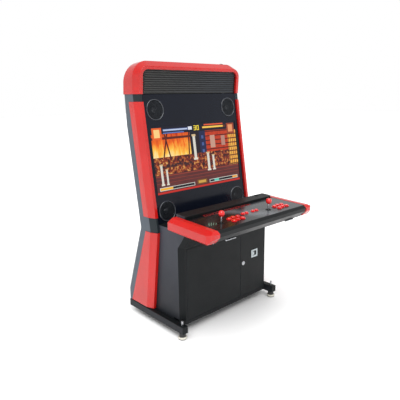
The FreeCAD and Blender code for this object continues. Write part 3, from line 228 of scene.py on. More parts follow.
def red_trim():
    """Glossy red moulding of the trims, the hood and the armrests."""
    shader = moulded("red_trim", RED, rgb(222, 84, 76), (0.20, 0.28), 260.0, 0.00001, 0.12,
                     Coat_Weight=0.4, Coat_Roughness=0.10, Specular_IOR_Level=0.35)
    return shader.material


def control_red():
    """Slightly translucent red plastic of the buttons and the ball tops."""
    shader = moulded("control_red", rgb(214, 18, 20), rgb(240, 90, 84), (0.16, 0.28), 900.0, 0.00006, 0.3,
                     Coat_Weight=0.5, Coat_Roughness=0.08, Subsurface_Weight=0.05)
    shader.set("Subsurface Scale", 0.004)
    return shader.material


def sides(shader):
    """1 on faces that look to the left or the right, 0 on the others."""
    return shader.remap(shader.math("ABSOLUTE", shader.split(shader.normal)[0]), 0.960, 0.985)


def frame_laminate():
    """Grey board: pale on its broad outer face, nearly black on the narrow front band; this difference is
    painted light and shade, not two colours of board.
    """
    shader = moulded("frame_laminate", rgb(80, 88, 97), PALE_EDGE_WEAR_AND_HIGHLIGHT, (0.38, 0.52), 420.0, 0.00018, 0.35,
                     amounts=(1, 1, 0.35), Specular_IOR_Level=0.25)
    pale = shader.base()
    painted_shade_band = shader.mix(shader.noise(40.0, 3.0), rgb(24, 31, 35), rgb(33, 41, 46))
    # Painted light and shade: the side faces stay pale as if lit, and the front band is painted nearly black
    # as shade.
    shader.set("Base Color", shader.mix(sides(shader), painted_shade_band, pale))
    return shader.material


def bezel_gloss():
    """Glossy blue-black sheet round the picture."""
    shader = moulded("bezel_gloss", rgb(15, 19, 30), rgb(70, 78, 92), (0.12, 0.22), 240.0, 0.00002, 0.3,
                     Specular_IOR_Level=0.2)
    return shader.material


def powder_coat(name, colour, roughness):
    """Fine orange-peel coat over sheet steel, as a shader that can still be changed."""
    return moulded(name, colour, rgb(74, 80, 86), roughness, 1300.0, 0.00022, 0.4, Specular_IOR_Level=0.18)


def cabinet_steel():
    """Black coat whose sheen turns blue-grey on the side panels, more so higher up."""
    shader = powder_coat("cabinet_steel", BLACK, (0.40, 0.54))
    coat = shader.base()
    sheen = shader.both(sides(shader), shader.remap(shader.z, 0.10, 0.60, 0.25, 1.0))
    shader.set("Base Color", shader.mix(sheen, coat, rgb(62, 65, 73)))
    return shader.material


def speaker_ring():
    """Satin dark moulding; its colour is a little paler than the bezel, a painted highlight."""
    shader = moulded("speaker_ring", rgb(52, 56, 64), rgb(120, 126, 136), (0.14, 0.22), 500.0, 0.00004, 0.4,
                     Coat_Weight=0.6, Coat_Roughness=0.08)
    return shader.material


# Depths below the ribs' tips: painted shade makes the grooves dark from the first, and the crests keep their
# paler colour from the second.
RIB_FULL_SHADE, RIB_SHADE_ENDS = 0.0055, 0.0015


def marquee_ribs():
    """Ribbed dark panel whose sheen drifts from warm at the left to cool at the right, with painted shade in
    its grooves.
    """
    shader = Shader("marquee_ribs")
    drift = shader.remap(shader.x, -0.36, 0.30)
    painted_light_tint = shader.mix(drift, rgb(60, 60, 58), rgb(44, 50, 58))
    column = shader.noise(6.0, 1.0, 0.5, (1, 0.02, 0.02))
    warm = shader.both(shader.remap(column, 0.50, 0.75, 0.0, 0.5), shader.remap(drift, 0.7, 0.1))
    painted_light_tint = shader.mix(warm, painted_light_tint, rgb(84, 76, 58))
    hood_out = -HOOD_UP.cross(Vector((1, 0, 0)))
    tips = max(vertex.co.dot(hood_out) for vertex in frame["nodes"]["marquee_grille"].data.vertices)
    # Painted shade: the colour darkens towards the roots of the grooves.
    clear_of_groove_shade = shader.remap(shader.along(hood_out), tips - RIB_FULL_SHADE, tips - RIB_SHADE_ENDS)
    painted_light_tint = shader.mix(clear_of_groove_shade, rgb(10, 11, 12), painted_light_tint)
    dust = shader.noise(60.0, 2.0)
    shader.set("Base Color", shader.mix(shader.remap(dust, *NOISE_SPAN, 0.0, 0.12), painted_light_tint, rgb(34, 36, 39)))
    shader.set("Roughness", shader.gloss(dust, 0.34, 0.42))
    shader.bump(dust, 0.1, 0.00008)
    return shader.material


# Printed strokes on the panel: level of each sloping line, and its ends.
STROKES = [
    (-0.064, -0.352, -0.322),
    (-0.047, -0.342, -0.306),
    (-0.030, -0.326, -0.298),
    (-0.012, -0.312, -0.290),
]
STROKE_HALF = 0.0016        # half a stroke's width

# Outlined strip along the panel's rear edge: its ends, and its depths in front of that edge.
STRIP_LEFT, STRIP_RIGHT = -0.252, 0.132
STRIP_FAR, STRIP_NEAR = 0.027, 0.005
STRIP_SIDE, STRIP_LINE = 0.003, 0.0025  # width of the outline at the ends and along the strip
MARK_FAR, MARK_NEAR = 0.0185, 0.0135    # the row of marks inside it
MARKS_PER_METRE = 42.0


def printed_strokes(shader, film):
    """A few sloping strokes beside the left stick."""
    wobble = shader.math("MULTIPLY_ADD", shader.noise(16.0, 2.0), 0.03, shader.x)
    sloping = shader.math("SUBTRACT", wobble, shader.math("ADD", shader.y, 0.015))
    for level, left, right in STROKES:
        stroke = shader.both(shader.band(sloping, level - STROKE_HALF, level + STROKE_HALF, 0.0004),
                             shader.band(shader.x, left, right, 0.006))
        film = shader.mix(stroke, film, rgb(120, 168, 142))
    return film


def printed_strip(shader, film):
    """A dark strip with a red outline and a row of plain marks."""
    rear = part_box("panel_lid")[1].y
    strip = (shader.band(shader.x, STRIP_LEFT, STRIP_RIGHT),
             shader.band(shader.y, rear - STRIP_FAR, rear - STRIP_NEAR))
    inner = (shader.band(shader.x, STRIP_LEFT + STRIP_SIDE, STRIP_RIGHT - STRIP_SIDE),
             shader.band(shader.y, rear - STRIP_FAR + STRIP_LINE, rear - STRIP_NEAR - STRIP_LINE))
    film = shader.mix(shader.both(*strip), film, rgb(186, 34, 32))
    film = shader.mix(shader.both(*inner), film, rgb(17, 17, 20))
    phase = shader.math("FRACT", shader.math("MULTIPLY", shader.x, MARKS_PER_METRE))
    marks = shader.both(*inner, shader.band(phase, 0.25, 0.6),
                        shader.band(shader.y, rear - MARK_FAR, rear - MARK_NEAR))
    return shader.mix(marks, film, rgb(150, 52, 48))


def panel_print():
    """Control panel: glossy dark film with printed strokes and an outlined strip, on satin black steel."""
    shader = Shader("panel_print", Specular_IOR_Level=0.25)
    # Only the faces that look up carry the film.
    up = shader.remap(shader.split(shader.normal)[2], 0.90, 0.97)
    steel = shader.mix(shader.noise(6.0, 4.0), rgb(9, 12, 13), BLACK)
    film = shader.mix(shader.remap(shader.x, -0.12, 0.22), rgb(12, 15, 18), rgb(46, 48, 52))
    # A broad, soft-edged sheen lies aslant across the film.
    slant = shader.math("MULTIPLY_ADD", shader.y, 0.8, shader.x)
    cloud = shader.math("MULTIPLY_ADD", shader.noise(6.0, 3.0), 0.10, slant)
    gleam = shader.band(cloud, -0.22, -0.12, 0.05)
    film = shader.mix(shader.math("MULTIPLY", gleam, 0.55), film, rgb(112, 116, 122))
    film = printed_strip(shader, printed_strokes(shader, film))
    shader.set("Base Color", shader.mix(up, steel, film))
    smudge = shader.noise(11.0, 5.0, 0.65)
    film_gloss = shader.gloss(smudge, 0.14, 0.24)
    steel_gloss = shader.gloss(smudge, 0.30, 0.42)
    shader.set("Roughness", shader.add("Mix", {0: up, 2: steel_gloss, 3: film_gloss}).outputs[0])
    shader.bump(shader.noise(800.0, 2.0), 0.2, 0.00005)
    return shader.material


PAD_RING_LOW, PAD_RING_HIGH = 0.0060, 0.0162    # heights of the feet's pale ring above the floor


def foot_pad():
    """Pale ring over a dark rubber sole, with a black neck on top."""
    shader = Shader("foot_pad", Coat_Weight=0.2)
    grime = shader.noise(90.0, 4.0)
    pale = shader.mix(grime, rgb(190, 186, 172), rgb(226, 223, 212))
    ring = shader.band(shader.z, PAD_RING_LOW, PAD_RING_HIGH, 0.0003)
    shader.set("Base Color", shader.mix(ring, rgb(24, 24, 24), pale))
    shader.set("Roughness", shader.gloss(grime, 0.3, 0.5))
    shader.bump(grime, 0.3, 0.0003)
    return shader.material


PLATE_SKIN = 0.0029         # depth of the coin plate's pale face
CHIP_FOOT = 0.0140          # height of the board's top above the bottom of its node
SOFT_EDGE = 0.0004          # width over which one colour gives way to the next


def coin_plate():
    """Pale moulded plate; what lies behind its face is dark."""
    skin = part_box("coin_entry")[0].y + PLATE_SKIN
    shader = Shader("coin_plate")
    speckle = shader.noise(260.0, 3.0)
    pale = shader.mix(speckle, rgb(176, 188, 192), rgb(206, 214, 216))
    inside = shader.remap(shader.y, skin, skin + SOFT_EDGE)
    shader.set("Base Color", shader.mix(inside, pale, rgb(24, 26, 28)))
    shader.set("Roughness", shader.gloss(speckle, 0.32, 0.46))
    shader.bump(speckle, 0.3, 0.0001)
    return shader.material


def circuit_board():
    """Green lacquer with tracks and dark chips standing on it."""
    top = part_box("game_board")[0].z + CHIP_FOOT
    shader = Shader("circuit_board")
    bricks = {"Vector": shader.place, "Scale": 90.0, "Mortar Size": 0.012}
    tracks = shader.add("TexBrick", bricks).outputs["Fac"]
    lacquer = shader.mix(tracks, rgb(20, 92, 52), rgb(150, 160, 84))
    chips = shader.remap(shader.z, top, top + SOFT_EDGE)
    mottle = shader.noise(300.0, 2.0)
    shader.set("Base Color", shader.mix(chips, lacquer, rgb(30, 31, 34)))
    shader.set("Roughness", shader.gloss(mottle, 0.3, 0.5))
    shader.bump(mottle, 0.3, 0.0001)
    return shader.material


def zinc_sheet():
    """Spangled zinc coat."""
    shader = Shader("zinc_sheet", Metallic=0.9)
    spangle = shader.split(shader.cells(70.0))[0]
    shader.set("Base Color", shader.mix(spangle, rgb(128, 132, 136), rgb(178, 182, 186)))
    shader.set("Roughness", shader.remap(spangle, 0.0, 1.0, 0.28, 0.5))
    shader.bump(shader.noise(300.0), 0.2, 0.0001)
    return shader.material


def lamp_white():
    """Milky plastic tube."""
    shader = Shader("lamp_white", Subsurface_Weight=0.1)
    haze = shader.noise(20.0, 3.0, 0.5, (0.2, 1, 1))
    shader.set("Base Color", shader.mix(haze, rgb(214, 214, 206), rgb(240, 240, 234)))
    shader.set("Roughness", shader.gloss(haze, 0.2, 0.35))
    shader.bump(haze, 0.1, 0.0001)
    return shader.material


def speaker_cone():
    """Matte paper cone."""
    shader = moulded("speaker_cone", rgb(30, 31, 34), rgb(80, 84, 90), (0.55, 0.75), 500.0, 0.0003, 0.3)
    return shader.material


# ---------------------------------------------------------------- the picture on the screen

# Colour ramps from dark to bright: position and colour of each stop.
FIRE = [(0.0, rgb(64, 10, 8)), (0.32, rgb(176, 34, 8)), (0.55, rgb(240, 104, 16)), (0.78, rgb(255, 196, 70)),
        (1.0, rgb(255, 244, 190))]
CROWD = [(0.0, rgb(22, 12, 18)), (0.42, rgb(52, 20, 22)), (0.54, rgb(150, 52, 26)), (0.62, rgb(212, 150, 70)),
         (1.0, rgb(240, 226, 190))]

# The bars of a seven-bar digit, as left, low, right and high in shares of the digit.
SEGMENTS = {"a": (0.0, 0.84, 1.0, 1.0), "b": (0.72, 0.5, 1.0, 1.0), "c": (0.72, 0.0, 1.0, 0.5),
            "d": (0.0, 0.0, 1.0, 0.16), "e": (0.0, 0.0, 0.28, 0.5), "f": (0.0, 0.5, 0.28, 1.0),
            "g": (0.0, 0.42, 1.0, 0.58)}
DIGITS = {"3": "abcdg", "0": "abcdef"}
DIGIT_STEP = 1.25           # from one digit to the next, in widths of a digit


class Picture:
    """Flat scene drawn in fractions of the picture's width (u) and height (v)."""

    def __init__(self, shader):
        self.shader = shader
        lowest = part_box("lcd_screen")[0]
        edge = Vector((0, lowest.y, lowest.z + GLASS_THICK * math.sin(FACE_LEAN)))
        foot = edge.dot(FACE_UP) + GLASS_MARGIN
        self.u = shader.remap(shader.x, -PICTURE_HALF, PICTURE_HALF)
        self.v = shader.remap(shader.along(FACE_UP), foot, foot + PICTURE_HIGH)
        self.colour = rgb(30, 20, 30)

    def rect(self, left, low, right, high, lean=0.0):
        """Mask of a rectangle, whose top may lean sideways."""
        u = self.u
        if lean:
            u = self.shader.math("SUBTRACT", u, self.shader.math("MULTIPLY", self.v, lean))
        return self.shader.both(self.shader.band(u, left, right), self.shader.band(self.v, low, high))

    def paint(self, mask, colour):
        """Lays a colour over what is drawn so far."""
        self.colour = self.shader.mix(mask, self.colour, colour)

    def stripes(self, source, count, low, high):
        """Evenly repeated bars along u or v."""
        phase = self.shader.math("FRACT", self.shader.math("MULTIPLY", source, count))
        return self.shader.band(phase, low, high)

    def number(self, text, left, low, wide, tall, colour):
        """Digits drawn with bars."""
        for place, digit in enumerate(text):
            start = left + place * wide * DIGIT_STEP
            for name in DIGITS[digit]:
                a, b, c, d = SEGMENTS[name]
                area = self.rect(start + a * wide, low + b * tall, start + c * wide, low + d * tall)
                self.paint(area, colour)


def draw_backdrop(picture):
    """A burning hall at the left, a red front at the right, lit lattice at the far right."""
    shader = picture.shader
    flames = shader.noise(34.0, 5.0, 0.65, (1.0, 0.3, 0.3))
    height = shader.remap(picture.v, 0.86, 0.48, 0.0, 0.55)
    heat = shader.math("MULTIPLY", shader.math("ADD", flames, height), 0.86)
    picture.paint(picture.rect(0.0, 0.46, 0.42, 0.88), shader.ramp(heat, FIRE))
    wall = shader.mix(shader.noise(60.0, 4.0, 0.6), rgb(132, 22, 12), rgb(226, 74, 28))
    picture.paint(picture.rect(0.60, 0.54, 0.90, 0.88), wall)
    beams = picture.stripes(picture.v, 14, 0.0, 0.22)
    picture.paint(shader.both(picture.rect(0.60, 0.54, 0.90, 0.88), beams), rgb(74, 16, 14))
    glow = shader.mix(shader.noise(44.0, 4.0), rgb(232, 122, 34), rgb(255, 214, 92))
    picture.paint(picture.rect(0.66, 0.60, 0.72, 0.80), rgb(196, 150, 130))
    picture.paint(picture.rect(0.80, 0.62, 0.85, 0.78), rgb(180, 132, 118))
    picture.paint(picture.rect(0.89, 0.22, 1.0, 0.86), glow)
    posts = picture.stripes(picture.u, 38, 0.0, 0.26)
    lattice = shader.math("MAXIMUM", posts, picture.stripes(picture.v, 14, 0.0, 0.24))
    picture.paint(shader.both(picture.rect(0.89, 0.22, 1.0, 0.86), lattice), rgb(96, 40, 20))
    for left, lean in ((0.02, 0.16), (0.24, -0.12), (0.36, 0.05)):
        picture.paint(picture.rect(left, 0.46, left + 0.014, 0.88, lean), rgb(74, 18, 14))
    picture.paint(picture.rect(0.0, 0.80, 0.42, 0.835), rgb(92, 30, 18))
    picture.paint(picture.rect(0.53, 0.50, 0.605, 0.88), rgb(30, 36, 74))
    for low in (0.54, 0.65, 0.76):
        picture.paint(picture.rect(0.555, low, 0.58, low + 0.05), rgb(70, 92, 150))


def draw_ground(picture):
    """A dim crowd of lights, then the floor with its boards running away."""
    shader = picture.shader
    glow = shader.noise(52.0, 4.0, 0.7)
    dim = shader.ramp(glow, CROWD)
    picture.paint(picture.rect(0.0, 0.27, 0.89, 0.54), dim)
    warm = shader.mix(shader.remap(shader.noise(40.0, 3.0), 0.5, 0.7), rgb(58, 30, 34), rgb(196, 96, 40))
    picture.paint(picture.rect(0.0, 0.38, 0.42, 0.43), warm)
    boards = shader.mix(shader.noise(26.0, 3.0, 0.6, (0.3, 1, 2.0)), rgb(58, 26, 34), rgb(116, 54, 48))
    picture.paint(picture.rect(0.0, 0.0, 1.0, 0.28), boards)
    for low, tall in ((0.255, 0.012), (0.205, 0.006), (0.155, 0.005)):
        picture.paint(picture.rect(0.0, low, 1.0, low + tall), rgb(150, 60, 44))
    picture.paint(picture.rect(0.0, 0.0, 1.0, 0.028), rgb(196, 40, 30))


def draw_pillar(picture, left, low, wide, tall):
    """A pale fluted column on a plinth, with a plain capital."""
    shader = picture.shader
    stone = shader.mix(picture.stripes(picture.u, 120, 0.0, 0.4), rgb(240, 236, 222), rgb(176, 176, 170))
    picture.paint(picture.rect(left, low, left + wide, low + tall), stone)
    plinth = picture.rect(left - 0.3 * wide, low, left + 1.3 * wide, low + 0.08 * tall)
    picture.paint(plinth, rgb(226, 220, 204))
    capital = picture.rect(left - 0.25 * wide, low + 0.92 * tall, left + 1.25 * wide, low + tall)
    picture.paint(capital, rgb(214, 186, 140))


# Left, low, right, high and colour of each bar and plate over the picture, from the back to the front.
GAUGES = [
    (0.015, 0.80, 0.115, 0.975, rgb(232, 96, 34)), (0.035, 0.83, 0.095, 0.95, rgb(250, 206, 130)),
    (0.13, 0.915, 0.44, 0.955, rgb(70, 82, 130)), (0.135, 0.925, 0.40, 0.945, rgb(190, 204, 232)),
    (0.13, 0.885, 0.36, 0.900, rgb(96, 120, 190)), (0.41, 0.915, 0.455, 0.965, rgb(222, 226, 236)),
    (0.575, 0.915, 0.87, 0.955, rgb(96, 40, 22)), (0.58, 0.922, 0.84, 0.948, rgb(250, 204, 82)),
    (0.60, 0.965, 0.84, 0.985, rgb(228, 88, 50)), (0.885, 0.80, 0.985, 0.975, rgb(150, 62, 36)),
    (0.905, 0.83, 0.965, 0.95, rgb(232, 150, 100)),
    (0.03, 0.045, 0.42, 0.095, rgb(214, 214, 206)), (0.036, 0.053, 0.414, 0.087, rgb(20, 22, 30)),
    (0.036, 0.053, 0.17, 0.087, rgb(240, 176, 46)),
    (0.60, 0.045, 0.97, 0.095, rgb(214, 214, 206)), (0.606, 0.053, 0.964, 0.087, rgb(20, 22, 30)),
    (0.66, 0.053, 0.72, 0.087, rgb(90, 196, 176)), (0.90, 0.053, 0.964, 0.087, rgb(232, 156, 52)),
    (0.45, 0.05, 0.57, 0.12, rgb(120, 78, 30)), (0.465, 0.065, 0.555, 0.105, rgb(206, 158, 70)),
]


def draw_gauges(picture):
    """Bars along the top and the bottom, and a plain timer."""
    picture.paint(picture.rect(0.0, 0.88, 1.0, 1.0), rgb(16, 18, 34))
    for left, low, right, high, colour in GAUGES:
        picture.paint(picture.rect(left, low, right, high), colour)
    picture.number("30", 0.475, 0.90, 0.028, 0.075, rgb(250, 222, 60))


# Left, foot, width and height of each pillar.
PILLARS = [
    (0.45, 0.44, 0.03, 0.40),
    (0.06, 0.12, 0.022, 0.32),
    (0.115, 0.12, 0.018, 0.24),
    (0.60, 0.24, 0.028, 0.30),
    (0.665, 0.24, 0.024, 0.25),
]


def screen_picture():
    """The lit screen: a generic stage under dark glass."""
    shader = Shader("screen_picture", Roughness=0.12, Emission_Strength=1.0, Specular_IOR_Level=0.2)
    picture = Picture(shader)
    draw_backdrop(picture)
    draw_ground(picture)
    for left, low, wide, tall in PILLARS:
        draw_pillar(picture, left, low, wide, tall)
    draw_gauges(picture)
    shader.set("Base Color", rgb(8, 9, 12))
    shader.set("Emission Color", picture.colour)
    return shader.material


# ---------------------------------------------------------------- materials by CAD node

bright_steel = brushed("bright_steel", rgb(176, 178, 182), (0.2, 0.36), (1, 1, 0.08)).material
plated_steel = brushed("plated_steel", rgb(150, 152, 156), (0.28, 0.5), (1, 0.1, 1)).material
MATERIALS = {
    "red_trim": red_trim(),
    "frame_grey": frame_laminate(),
    "bezel_black": bezel_gloss(),
    "black_steel": cabinet_steel(),
    "grille_grey": marquee_ribs(),
    "panel_black": panel_print(),
    "control_red": control_red(),
    "bright_steel": bright_steel,
    "foot_plastic": foot_pad(),
    "screen_glass": screen_picture(),
    "monitor_case": powder_coat("monitor_case", rgb(24, 24, 26), (0.5, 0.65)).material,
    "speaker_mesh": powder_coat("speaker_mesh", rgb(22, 25, 30), (0.34, 0.48)).material,
    "speaker_metal": speaker_cone(),
    "lamp_white": lamp_white(),
    "board_green": circuit_board(),
    "zinc_sheet": zinc_sheet(),
    "coin_plate_grey": coin_plate(),
    "switch_black": powder_coat("switch_black", rgb(18, 18, 19), (0.35, 0.5)).material,
}
slot_of = {part["node"]: part["material_slot"] for part in frame["record"]["subparts"]}
for name, piece in frame["nodes"].items():
    if not piece.material_slots:
        piece.data.materials.append(None)
    piece.material_slots[0].link = "OBJECT"
    piece.material_slots[0].material = MATERIALS[slot_of[name]]

# ---------------------------------------------------------------- rounded edges on CAD nodes

# Edge radius in metres and number of steps for each CAD node whose edges show.
ROUNDING = {
    "hood_trim": (0.0035, 3), "left_upper_trim": (0.002, 3), "right_upper_trim": (0.002, 3),
    "left_lower_trim": (0.002, 3), "right_lower_trim": (0.002, 3), "left_armrest": (0.0065, 4),
    "right_armrest": (0.0065, 4), "left_side_frame": (0.002, 2), "right_side_frame": (0.002, 2),
    "panel_lid": (0.0012, 2), "shelf_box": (0.0025, 3), "bezel_panel": (0.0008, 2),
    "main_door": (0.0012, 2), "coin_door": (0.0012, 2), "left_skid_rail": (0.0025, 2),
    "right_skid_rail": (0.0025, 2), "marquee_grille": (0.0006, 2), "coin_entry": (0.0006, 2),
    "panel_hinges": (0.0006, 2), "rear_access_panel": (0.001, 2), "mains_inlet": (0.0006, 2),
}
WELD_REACH = 0.00002        # corners closer than this are one corner
SHARP = math.radians(32)    # edges of the new pieces stay sharp above this angle
FACET = math.radians(16)    # smallest angle between two flat faces of the trims


def soften(piece, width, steps):
    """Modifiers that join the split corners of a CAD mesh and round its sharp edges."""
    weld = piece.modifiers.new("weld", "WELD")
    weld.merge_threshold = WELD_REACH
    bevel = piece.modifiers.new("rounding", "BEVEL")
    bevel.width = width
    bevel.segments = steps
    bevel.limit_method = "ANGLE"
    bevel.angle_limit = FACET
    bevel.use_clamp_overlap = True
    normals = piece.modifiers.new("normals", "WEIGHTED_NORMAL")
    normals.keep_sharp = False


for name, (width, steps) in ROUNDING.items():
    soften(frame["nodes"][name], width, steps)

# ---------------------------------------------------------------- pieces made here


MERGE_REACH = 0.000001


def make(name, build, material, body):
    """A new piece: build fills its mesh, and it takes a material and a body."""
    mesh = bpy.data.meshes.new(name)
    shape = bmesh.new()
    build(shape)
    bmesh.ops.remove_doubles(shape, verts=shape.verts, dist=MERGE_REACH)
    bmesh.ops.recalc_face_normals(shape, faces=shape.faces)
    shape.to_mesh(mesh)
    shape.free()
    mesh.materials.append(material)
    mesh.shade_smooth()
    mesh.set_sharp_from_angle(angle=SHARP)
    piece = bpy.data.objects.new(name, mesh)
    scene.collection.objects.link(piece)
    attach(piece, body)
    return piece


def facing(point, direction):
    """Placement whose Z axis points along the direction."""
    turn = direction.to_track_quat("Z", "Y").to_matrix().to_4x4()
    return Matrix.Translation(point) @ turn


def on_circle(radius, angle, height):
    """Point at an angle on a circle about the Z axis."""
    return Vector((radius * math.cos(angle), radius * math.sin(angle), height))


def arc(radius, rise, steps, lift=0.0):
    """Quarter of an ellipse as (radius, height) points, from its rim up to the axis."""
    angles = [step * math.pi / 2 / steps for step in range(steps + 1)]
    return [(radius * math.cos(angle), lift + rise * math.sin(angle)) for angle in angles]


def lathe(shape, profile, place, steps):
    """Revolves (radius, height) points about the placement's Z axis, closing the profile on itself."""
    rings = []
    for radius, height in profile:
        points = [on_circle(radius, math.tau * step / steps, height) for step in range(steps)]
        rings.append([shape.verts.new(place @ point) for point in points])
    for ring, following in zip(rings, rings[1:] + rings[:1]):
        for step in range(steps):
            after = (step + 1) % steps
            corners = [ring[step], ring[after], following[after], following[step]]
            if len({tuple(round(value, 7) for value in corner.co) for corner in corners}) > 2:
                shape.faces.new(corners)


def dome(shape, radius, skirt, rise, place):
    """A flat-bottomed button: a skirt of the given height with an elliptic dome on it."""
    lathe(shape, [(0.0, 0.0), (radius, 0.0)] + arc(radius, rise, 6, skirt), place, 32)


def prism(shape, outline, thick, place):
    """Extrudes a flat outline along the placement's Z axis."""
    low = [shape.verts.new(place @ Vector((x, y, 0))) for x, y in outline]
    high = [shape.verts.new(place @ Vector((x, y, thick))) for x, y in outline]
    shape.faces.new(low)
    shape.faces.new(high)
    for index in range(len(outline)):
        after = (index + 1) % len(outline)
        shape.faces.new([low[index], low[after], high[after], high[index]])


def corner_centres(name):
    """Middles of the four solids of a CAD node that has one in each corner, seen from the front."""
    points = [vertex.co for vertex in frame["nodes"][name].data.vertices]
    lowest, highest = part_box(name)
    middle = (lowest.z + highest.z) / 2
    centres = []
    for side in (-1, 1):
        for level in (-1, 1):
            group = [p for p in points if p.x * side > 0 and (p.z - middle) * level > 0]
            corner = Vector([min(p[axis] for p in group) for axis in range(3)])
            opposite = Vector([max(p[axis] for p in group) for axis in range(3)])
            centres.append((corner + opposite) / 2)
    return centres


# Speakers: a moulded ring over a perforated steel net, with a dust cap seen through the holes.
RING_OUT, RING_IN, RING_DEEP = 0.0617, 0.0555, 0.0048
RING_STEPS = 8              # flats along the ring's arch
NET_RADIUS, NET_PITCH, NET_HOLE, NET_THICK = 0.0585, 0.0045, 0.0016, 0.0008
NET_BEHIND = 0.0006         # how far the net lies behind the middle of the ring
CAP_RADIUS, CAP_RISE, CAP_BEHIND = 0.017, 0.007, 0.016


def ring_profile():
    """Half-round ring: flat at the back, arched at the front."""
    middle, reach = (RING_OUT + RING_IN) / 2, (RING_OUT - RING_IN) / 2
    angles = [step * math.pi / RING_STEPS for step in range(RING_STEPS + 1)]
    return [(middle + reach * math.cos(angle), RING_DEEP * (math.sin(angle) - 0.5)) for angle in angles]


def net(shape, place):
    """Round piece of steel sheet with hexagonal holes on a honeycomb."""
    row_step = NET_PITCH * math.sqrt(3) / 2
    rows = int(NET_RADIUS / row_step)
    corner = NET_PITCH / math.sqrt(3)
    for row in range(-rows, rows + 1):
        shift = NET_PITCH / 2 if row % 2 else 0.0
        for column in range(-rows - 1, rows + 2):
            x, y = column * NET_PITCH + shift, row * row_step
            if math.hypot(x, y) <= NET_RADIUS - corner:
                hexagon_ring(shape, place, Vector((x, y, 0)), corner)


def hexagon_ring(shape, place, middle, corner):
    """One cell of the net: a hexagon with a hexagonal hole."""
    angles = [math.tau * (step + 0.5) / 6 for step in range(6)]
    loops = []
    for height in (-NET_THICK / 2, NET_THICK / 2):
        for radius in (corner, NET_HOLE):
            points = [middle + on_circle(radius, angle, height) for angle in angles]
            loops.append([shape.verts.new(place @ point) for point in points])
    low_out, low_in, high_out, high_in = loops
    for first, second in ((low_out, low_in), (low_in, high_in), (high_in, high_out)):
        for step in range(6):
            after = (step + 1) % 6
            shape.faces.new([first[step], first[after], second[after], second[step]])


speaker_spots = corner_centres("speaker_grilles")


def speaker_rings(shape):
    for spot in speaker_spots:
        lathe(shape, ring_profile(), facing(spot, FACE_OUT), 72)


def speaker_nets(shape):
    for spot in speaker_spots:
        net(shape, facing(spot - FACE_OUT * NET_BEHIND, FACE_OUT))


def dust_caps(shape):
    """Shallow dome at the middle of each cone."""
    for spot in speaker_spots:
        profile = [(0.0, 0.0)] + arc(CAP_RADIUS, CAP_RISE, 8)
        lathe(shape, profile, facing(spot - FACE_OUT * CAP_BEHIND, FACE_OUT), 32)


rings = make("speaker_rings", speaker_rings, speaker_ring(), "cabinet")
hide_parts("speaker_grilles")
make("speaker_nets", speaker_nets, MATERIALS["speaker_mesh"], "cabinet")
make("speaker_dust_caps", dust_caps, plated_steel, "cabinet")

# Sticks: a dust washer lies on the panel round each shaft.
WASHER_OUT, WASHER_IN, WASHER_THICK = 0.0170, 0.0085, 0.0016
WASHER_LIFT = 0.0002        # clearance over the panel
BALL_RISE = 0.052           # from the panel's top to the middle of a ball


def stick_foot(player):
    """Point on the panel's top where the stick's axis passes through it."""
    lowest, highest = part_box(f"p{player}_stick_ball")
    return (lowest + highest) / 2 - DECK_UP * BALL_RISE


def dust_washers(shape):
    for player in (1, 2):
        rim = WASHER_THICK * 0.4
        profile = [(WASHER_IN, 0.0), (WASHER_OUT, 0.0), (WASHER_OUT, rim), (WASHER_OUT - rim, WASHER_THICK),
                   (WASHER_IN, WASHER_THICK)]
        lathe(shape, profile, facing(stick_foot(player) + DECK_UP * WASHER_LIFT, DECK_UP), 64)


make("stick_dust_washers", dust_washers, MATERIALS["switch_black"], "panel_lid")

# Coin door: a plated rosette round the lock.
LOCK_IN, LOCK_OUT = 0.0096, 0.0135
LOCK_RIM, LOCK_THICK, LOCK_BEVEL = 0.0008, 0.0018, 0.0012
PLUG_FACE = 0.001           # the lock's front face lies within this depth


def lock_rosette(shape):
    lowest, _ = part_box("coin_lock")
    door_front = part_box("coin_door")[0].y
    plug = frame["nodes"]["coin_lock"].data.vertices
    face = [vertex.co for vertex in plug if vertex.co.y < lowest.y + PLUG_FACE]
    across = sum(point.x for point in face) / len(face)
    levels = [point.z for point in face]
    centre = Vector((across, door_front, (min(levels) + max(levels)) / 2))
    profile = [(LOCK_IN, 0.0), (LOCK_OUT, 0.0), (LOCK_OUT, LOCK_RIM), (LOCK_OUT - LOCK_BEVEL, LOCK_THICK),
               (LOCK_IN, LOCK_THICK)]
    lathe(shape, profile, facing(centre, FRONT), 48)


make("lock_rosette", lock_rosette, bright_steel, "coin_door")

# Screws: domed heads with a hexagonal socket.
SOCKET_STEPS = 24
SCREW_RADIUS = 0.005

# Rings of a screw head from its foot to the socket's floor: radius and height as shares of its radius,
# and whether the ring is a hexagon.
SCREW_RINGS = [
    (1.0, 0.0, False), (1.0, 0.25, False), (0.86, 0.5, False), (0.62, 0.62, False),
    (0.42, 0.62, True), (0.42, 0.12, True),
]


def screw(shape, place, radius):
    """A domed screw head; its socket's wall follows a hexagon."""
    rings = []
    for share, height, hexagonal in SCREW_RINGS:
        ring = []
        for step in range(SOCKET_STEPS):
            angle = math.tau * step / SOCKET_STEPS
            reach = radius * share
            if hexagonal:
                reach *= math.cos(math.pi / 6) / math.cos(angle % (math.pi / 3) - math.pi / 6)
            ring.append(shape.verts.new(place @ on_circle(reach, angle, height * radius)))
        rings.append(ring)
    for ring, following in zip(rings, rings[1:]):
        for step in range(SOCKET_STEPS):
            after = (step + 1) % SOCKET_STEPS
            shape.faces.new([ring[step], ring[after], following[after], following[step]])
    shape.faces.new(rings[0])
    shape.faces.new(rings[-1])


